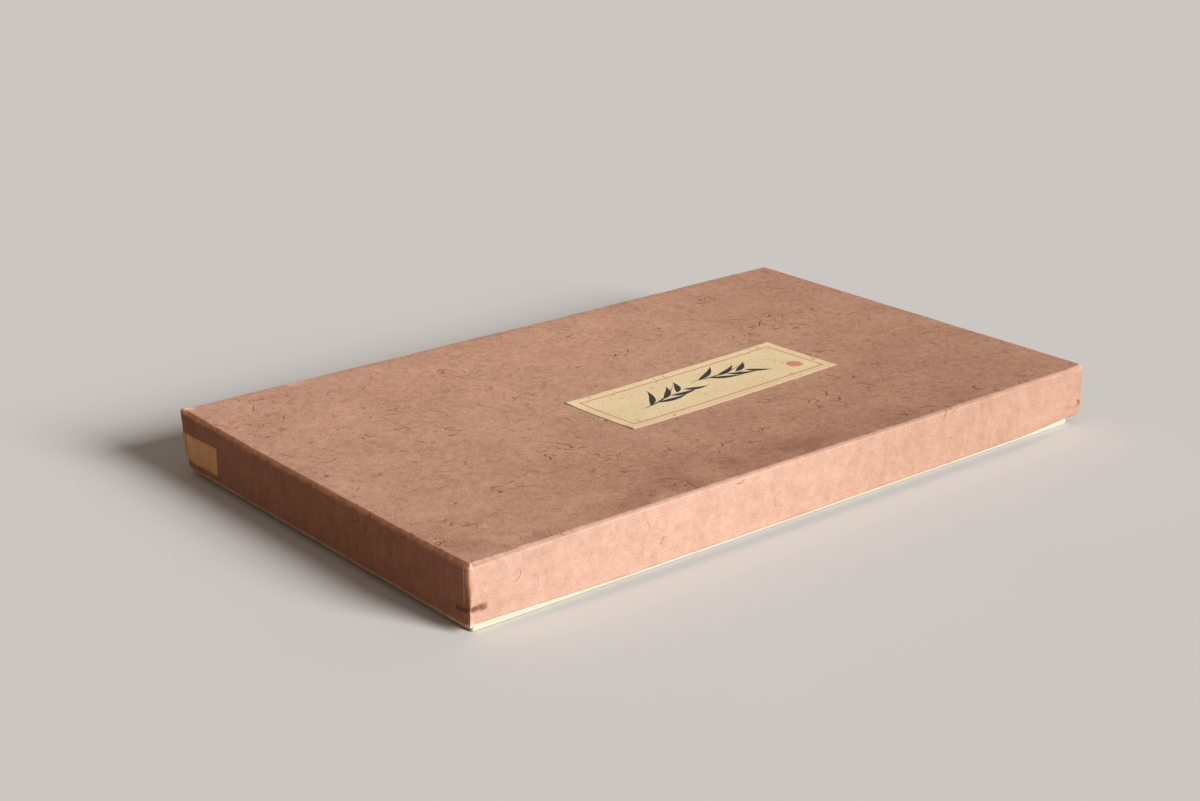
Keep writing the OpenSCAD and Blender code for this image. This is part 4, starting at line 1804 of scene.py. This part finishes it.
@dataclass(frozen=True)
class GummedPaper:
    """Tan gummed sticker paper, darker with old glue along its edges and rubbed at its fold."""

    low: float
    high: float
    end_lap: float
    tan: Colour = (0.89, 0.525, 0.255)
    aged: Colour = (0.77, 0.425, 0.192)
    glue: Colour = (0.34, 0.125, 0.050)
    rubbed: Colour = (0.74, 0.360, 0.140)
    split_place: float = 2.6 * MM

    def material(self) -> Material:
        """Mixes grain and glue stains on the sticker's own flat map.

        Returns:
            The material.
        """
        mix = Coat("gummed_paper", self.aged, 0.8, 0.3)
        place = mix.sheet()
        grain, blotch = mix.pulp(place, (0.5 * MM, 6 * MM), 0.35, (0.36, 0.62), self.tan)
        round_it, height, _ = mix.split(place)
        edge = mix.math("MINIMUM", mix.minus(height, self.low), mix.minus(self.high, height))
        edge = mix.math("MINIMUM", edge, mix.minus(self.end_lap, round_it))
        ragged = mix.plus(edge, mix.times(mix.minus(blotch, 0.5), 1.6 * MM))
        mix.lay(mix.band(ragged, 0.9 * MM, 0.1 * MM, 0.0, 0.75), self.glue)
        mix.lay(mix.band(mix.apart(round_it), 2.2 * MM, 0.5 * MM, 0.0, 0.8), self.rubbed)
        beside = mix.apart(round_it, self.split_place)
        split = mix.plus(beside, mix.times(mix.minus(grain, 0.5), 2.0 * MM))
        mix.lay(mix.band(split, 0.9 * MM, 0.2 * MM, 0.0, 0.7), self.glue)
        return mix.finish(grain, 0.04 * MM, mix.band(grain, 0.3, 0.7, 0.86, 0.72))


@dataclass(frozen=True)
class Hair:
    """Plant fibre, each hair in its own tone."""

    name: str
    strong: Colour
    faint: Colour

    def material(self) -> Material:
        """Mixes the two tones by each hair's own share and a little grain.

        Returns:
            The material.
        """
        mix = Coat(self.name, self.strong, 0.95, 0.1)
        grain = mix.noise(mix.sheet(), 0.5 * MM, 1.0, 2.0)
        share = mix.plus(mix.worn(), mix.times(mix.minus(grain, 0.5), 0.6))
        mix.lay(mix.band(share, 0.1, 0.9), self.faint)
        return mix.finish(grain, 0.03 * MM)


@dataclass(frozen=True)
class BrushInk:
    """Black ink, thinner where the brush ran dry."""

    wet: Colour = (0.012, 0.012, 0.013)
    dry: Colour = (0.085, 0.072, 0.055)

    def material(self) -> Material:
        """Mixes wet and dry ink on the label's flat map.

        Returns:
            The material.
        """
        mix = Coat("brush_ink", self.wet, 0.6, 0.35)
        streak = mix.noise(mix.sheet(), 0.9 * MM, 1.0, 3.0, 0.6)
        mix.lay(mix.band(streak, 0.52, 0.72), self.dry)
        return mix.finish(streak, 0.02 * MM, mix.band(streak, 0.35, 0.7, 0.5, 0.8))


@dataclass(frozen=True)
class RustedWire:
    """Flat steel wire under a coat of rust."""

    rust: Colour = (0.165, 0.062, 0.030)
    steel: Colour = (0.300, 0.270, 0.240)

    def material(self) -> Material:
        """Mixes rust over bare metal on Object coordinates.

        Returns:
            The material.
        """
        mix = Coat("rusted_wire", self.rust, 0.7, 0.5)
        scale = mix.noise(mix.spot(), 0.8 * MM, 1.0, 4.0, 0.65)
        bare = mix.band(scale, 0.55, 0.66)
        mix.lay(bare, self.steel)
        mix.tree.links.new(mix.times(bare, 0.8), mix.shader.inputs["Metallic"])
        return mix.finish(scale, 0.05 * MM, mix.band(scale, 0.4, 0.7, 0.85, 0.45))


def dress(piece: Piece, material: Material) -> None:
    """Puts a material on a piece, in its slots or in a new one.

    Args:
        piece: The piece.
        material: Its finish.
    """
    if not piece.material_slots:
        piece.data.materials.append(material)
    for slot in piece.material_slots:
        slot.material = material


def seat(piece: Piece, material: Material, body: Body, slot: str, *nodes: str) -> None:
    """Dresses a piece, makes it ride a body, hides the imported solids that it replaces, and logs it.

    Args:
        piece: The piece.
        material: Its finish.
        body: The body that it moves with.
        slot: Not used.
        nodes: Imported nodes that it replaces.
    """
    dress(piece, material)
    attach(piece, body.value)
    if nodes:
        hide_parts(*nodes)
    LOG.info("%s: %d faces, rides %s", piece.name, len(piece.data.polygons), body.value)


def cut_copy(node: str, cuts: int = 40) -> bpy.types.Mesh:
    """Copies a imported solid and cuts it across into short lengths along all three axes.

    Args:
        node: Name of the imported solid.
        cuts: Number of lengths along its longest side.

    Returns:
        The mesh of the copy.
    """
    low, high = (np.array(corner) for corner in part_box(node))
    solid = bmesh.new()
    solid.from_mesh(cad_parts[node].data)
    bmesh.ops.remove_doubles(solid, verts=solid.verts, dist=WELD)
    for axis in range(3):
        size = high[axis] - low[axis]
        steps = max(1, round(cuts * size / (high - low).max()))
        normal = np.eye(3)[axis]
        for step in range(1, steps):
            geometry = [*solid.verts, *solid.edges, *solid.faces]
            place = low + normal * size * step / steps
            bmesh.ops.bisect_plane(solid, geom=geometry, dist=WELD, plane_co=place, plane_no=normal)
    mesh = bpy.data.meshes.new(f"{node}_bowed")
    solid.to_mesh(mesh)
    solid.free()
    return mesh


@dataclass
class Lid:
    """The lid: bowed boards, cover paper, lining, label, sticker, staples and raised fibres."""

    board_finish: Material
    lining_finish: Material
    wire_finish: Material
    edge_reach: float = 1.2 * MM
    edge_depth: float = 1.75 * MM
    board: float = 1.5 * MM
    board_gap: float = 0.04 * MM
    corner_squareness: float = 9.0
    ear_steps: int = 3
    lining_radius: float = 0.5 * MM
    lining_thickness: float = 0.2 * MM
    sticker_back_lap: float = 18 * MM
    form: LidForm = field(init=False)
    paper: CoverPaper = field(init=False)

    def __post_init__(self) -> None:
        """Takes the lid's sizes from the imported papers."""
        low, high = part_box("lid_cover_paper")
        thickness = high.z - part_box("lid_top_board")[1].z
        self.form = LidForm(high.x, high.y, low.z, high.z)
        self.paper = CoverPaper(
            plan=Plan(
                high.x, high.y, self.edge_reach,
                ear_steps=self.ear_steps, squareness=self.corner_squareness,
            ),
            roll=Roll(self.edge_reach, self.edge_depth),
            form=self.form,
            thickness=thickness,
            wall=self.board + 2 * thickness,
            turn_in=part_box("lid_lining_paper")[0].z - low.z,
        )

    def build(self) -> None:
        """Builds and dresses every piece of the lid."""
        self.build_paper()
        self.build_fibres()
        for side in ("top", "front", "back", "left", "right"):
            self.build_bowed(f"lid_{side}_board", self.board_finish, "board")
        self.build_lining()
        self.build_label()
        self.build_sticker()
        self.build_bowed("lid_corner_staples", self.wire_finish, "staple")

    def build_paper(self) -> None:
        """Makes the cover paper."""
        form, paper = self.form, self.paper
        finish = FibrePaper(
            form.half_length, form.half_width, paper.roll, form.top, form.foot, paper.staple_level
        )
        piece = paper.skin().build("lid_paper_cover")
        seat(piece, finish.material(), Body.LID, "lid_paper", "lid_cover_paper")

    def build_fibres(self) -> None:
        """Makes the fibres raised on the cover paper, in three batches."""
        dark = Fibres(1100, (2.0 * MM, 15 * MM), (0.15 * MM, 0.34 * MM), 1.6, 11)
        strong = Fibres(260, (3.0 * MM, 14 * MM), (0.26 * MM, 0.46 * MM), 2.0, 37, 14, 0.35, tangle=5)
        pale = Fibres(170, (2.0 * MM, 11 * MM), (0.12 * MM, 0.22 * MM), 1.2, 23)
        batches = (
            ("dark_fibres", dark, Hair("dark_hair", (0.115, 0.034, 0.014), (0.34, 0.155, 0.085))),
            ("strong_fibres", strong, Hair("strong_hair", (0.090, 0.030, 0.013), (0.245, 0.102, 0.054))),
            ("pale_fibres", pale, Hair("pale_hair", (0.80, 0.56, 0.42), (0.66, 0.42, 0.30))),
        )
        for name, fibres, hair in batches:
            seat(fibres.skin(self.paper).build(name), hair.material(), Body.LID, "lid_paper")

    def build_bowed(self, node: str, finish: Material, slot: str) -> None:
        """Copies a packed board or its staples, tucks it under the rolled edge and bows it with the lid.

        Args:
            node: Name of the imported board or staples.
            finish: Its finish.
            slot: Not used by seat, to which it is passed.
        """
        mesh = cut_copy(node)
        points = np.empty(len(mesh.vertices) * 3)
        mesh.vertices.foreach_get("co", points)
        outer = np.array([self.form.half_length, self.form.half_width, self.form.top])
        inset = self.paper.thickness + self.board_gap
        tucked = self.paper.roll.tuck(points.reshape(-1, 3), outer, inset)
        mesh.vertices.foreach_set("co", self.form.settle(tucked, under_paper=True).ravel())
        seat(put_in(mesh.name, mesh), finish, Body.LID, slot, node)

    def build_lining(self) -> None:
        """Makes the lining under the boards."""
        low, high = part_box("lid_lining_paper")
        plan = Plan(high.x, high.y, self.lining_radius)
        skin = PastedSheet(plan, high.z, high.z - low.z, self.lining_thickness, Hang.DOWN).skin()
        skin.points = self.form.settle(skin.points)
        seat(skin.build("lid_lining"), self.lining_finish, Body.LID, "lining", "lid_lining_paper")

    def build_label(self) -> None:
        """Makes the label and the sprig drawn on it."""
        low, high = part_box("title_label")
        label = TitleLabel(self.paper, ((low.x + high.x) / 2, (low.y + high.y) / 2))
        finish = LabelPaper(label.length / 2, label.width / 2).material()
        seat(label.skin().build("label_sheet"), finish, Body.LID, "label", "title_label")
        seat(label.sprig().build("label_sprig"), BrushInk().material(), Body.LID, "label")

    def build_sticker(self) -> None:
        """Makes the sticker round the rear left corner."""
        low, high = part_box("corner_sticker")
        end_lap = self.form.half_width - low.y
        sticker = CornerSticker(self.paper, low.z, high.z, end_lap, self.sticker_back_lap)
        finish = GummedPaper(low.z, high.z, end_lap).material()
        seat(sticker.skin().build("sticker_sheet"), finish, Body.LID, "sticker", "corner_sticker")


@dataclass
class Base:
    """The tray: boards and staples as packed, with a cream band, a lining and a bottom sheet."""

    board_finish: Material
    lining_finish: Material
    wire_finish: Material
    corner_radius: float = 1.0 * MM
    board: float = 1.5 * MM
    turn_under: float = 14 * MM
    lining_radius: float = 0.5 * MM
    lining_thickness: float = 0.2 * MM

    def build(self) -> None:
        """Builds and dresses every piece of the base."""
        light, dark, spots = (0.69, 0.638, 0.51), (0.635, 0.572, 0.425), (0.40, 0.24, 0.13)
        cream = PlainPaper("cream_paper", light, dark, spots).material()
        self.build_band(cream)
        self.build_lining()
        dress(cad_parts["base_bottom_sheet"], cream)
        dress(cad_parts["base_corner_staples"], self.wire_finish)
        for side in ("bottom", "front", "back", "left", "right"):
            dress(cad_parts[f"base_{side}_board"], self.board_finish)

    def build_band(self, cream: Material) -> None:
        """Makes the cream band round the sides.

        Args:
            cream: Its finish.
        """
        low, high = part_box("base_cover_paper")
        inner_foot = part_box("base_lining_paper")[1].z
        thickness = high.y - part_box("base_back_board")[1].y
        plan = Plan((high.x - low.x) / 2, high.y, self.corner_radius, (low.x + high.x) / 2)
        wall = self.board + 2 * thickness
        band = BaseBand(plan, high.z, low.z, inner_foot, wall, thickness, self.turn_under)
        seat(band.skin().build("base_band"), cream, Body.BASE, "base_paper", "base_cover_paper")

    def build_lining(self) -> None:
        """Makes the lining on the floor and the lower part of the walls."""
        low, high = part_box("base_lining_paper")
        plan = Plan((high.x - low.x) / 2, high.y, self.lining_radius, (low.x + high.x) / 2)
        sheet = PastedSheet(plan, low.z, high.z - low.z, self.lining_thickness, Hang.UP)
        piece = sheet.skin().build("base_lining")
        seat(piece, self.lining_finish, Body.BASE, "lining", "base_lining_paper")


@dataclass(frozen=True)
class Studio:
    """A pale floor, a soft key lamp from the right of the front, and a camera at the photograph's angle."""

    camera_place: Point = (-0.4779, -0.5500, 0.2795)
    camera_way: Point = (0.60003, 0.72547, -0.33714)
    camera_roll: float = math.radians(-0.029)
    lens: float = 60.46
    sensor: float = 36.0
    nearest: float = 10 * MM
    key_from: Point = (0.28, -0.88, 0.38)
    key_strength: float = 4.8
    key_spread: float = math.radians(24)
    key_colour: Colour = (1.0, 0.985, 0.97)
    sky: float = 0.20
    sky_colour: Colour = (1.0, 0.82, 0.70)
    floor_half: float = 6.0
    floor_level: float = -0.1 * MM
    floor_mottle: float = 120 * MM
    floor_colour: Colour = (0.78, 0.78, 0.77)
    floor_bounce: Colour = (0.44, 0.37, 0.31)
    backdrop: Colour = (0.58, 0.555, 0.525)

    def build(self) -> None:
        """Makes the floor, the light and the camera."""
        self.build_floor()
        self.build_sky()
        self.build_key()
        self.build_camera()

    def build_floor(self) -> None:
        """Makes a large flat floor just under the box, with a faint mottle."""
        side = np.linspace(-self.floor_half, self.floor_half, 9)
        points = level_grid(side, side, self.floor_level)
        floor = Skin.of_grid(points, points[..., :2]).build("floor")
        mix = Coat("pale_floor", self.floor_bounce, 0.95, 0.0)
        mottle = mix.noise(mix.spot(), self.floor_mottle, 1.0, 3.0)
        darker = tuple(0.97 * part for part in self.floor_colour)
        mix.lay(mix.seen(), mix.blend(mottle, darker, self.floor_colour))
        dress(floor, mix.finish(mottle, 0.01 * MM))

    def build_sky(self) -> None:
        """Makes an even sky, seen as a pale backdrop beyond the floor."""
        world = bpy.data.worlds.new("sky")
        world.use_nodes = True
        mix = Mixer(world.node_tree)
        sky = world.node_tree.nodes["Background"]
        sky.inputs["Color"].default_value = full(self.sky_colour)
        sky.inputs["Strength"].default_value = self.sky
        backdrop = mix.node("ShaderNodeBackground", {"Color": full(self.backdrop)})
        both = {0: mix.seen(), 1: sky.outputs[0], 2: backdrop.outputs[0]}
        shown = mix.node("ShaderNodeMixShader", both)
        mix.tree.links.new(shown.outputs[0], world.node_tree.nodes["World Output"].inputs["Surface"])
        bpy.context.scene.world = world

    def build_key(self) -> None:
        """Makes one soft key lamp."""
        lamp = bpy.data.lights.new("key", "SUN")
        lamp.energy = self.key_strength
        lamp.angle = self.key_spread
        lamp.color = self.key_colour
        key = put_in("key", lamp)
        key.rotation_euler = Vector(self.key_from).to_track_quat("Z", "Y").to_euler()

    def build_camera(self) -> None:
        """Sets the camera at the photograph's place and angle."""
        eye = bpy.data.cameras.new("camera")
        eye.lens = self.lens
        eye.sensor_width = self.sensor
        eye.sensor_fit = "HORIZONTAL"
        eye.clip_start = self.nearest
        camera = put_in("camera", eye)
        camera.location = self.camera_place
        level = Vector(self.camera_way).to_track_quat("-Z", "Y")
        camera.rotation_euler = (level @ Quaternion((0.0, 0.0, 1.0), self.camera_roll)).to_euler()
        bpy.context.scene.camera = camera
        bpy.context.scene.view_settings.view_transform = "Standard"


def main() -> None:
    """Builds the studio and the two halves of the box."""
    logging.basicConfig(level=logging.INFO, format="%(name)s: %(message)s")
    Studio().build()
    board = Greyboard().material()
    light, dark, spots = (0.71, 0.63, 0.46), (0.60, 0.51, 0.34), (0.36, 0.22, 0.09)
    lining = PlainPaper("lining_paper", light, dark, spots, 0.62).material()
    wire = RustedWire().material()
    Lid(board, lining, wire).build()
    Base(board, lining, wire).build()


if __name__ == "__main__":
    main()
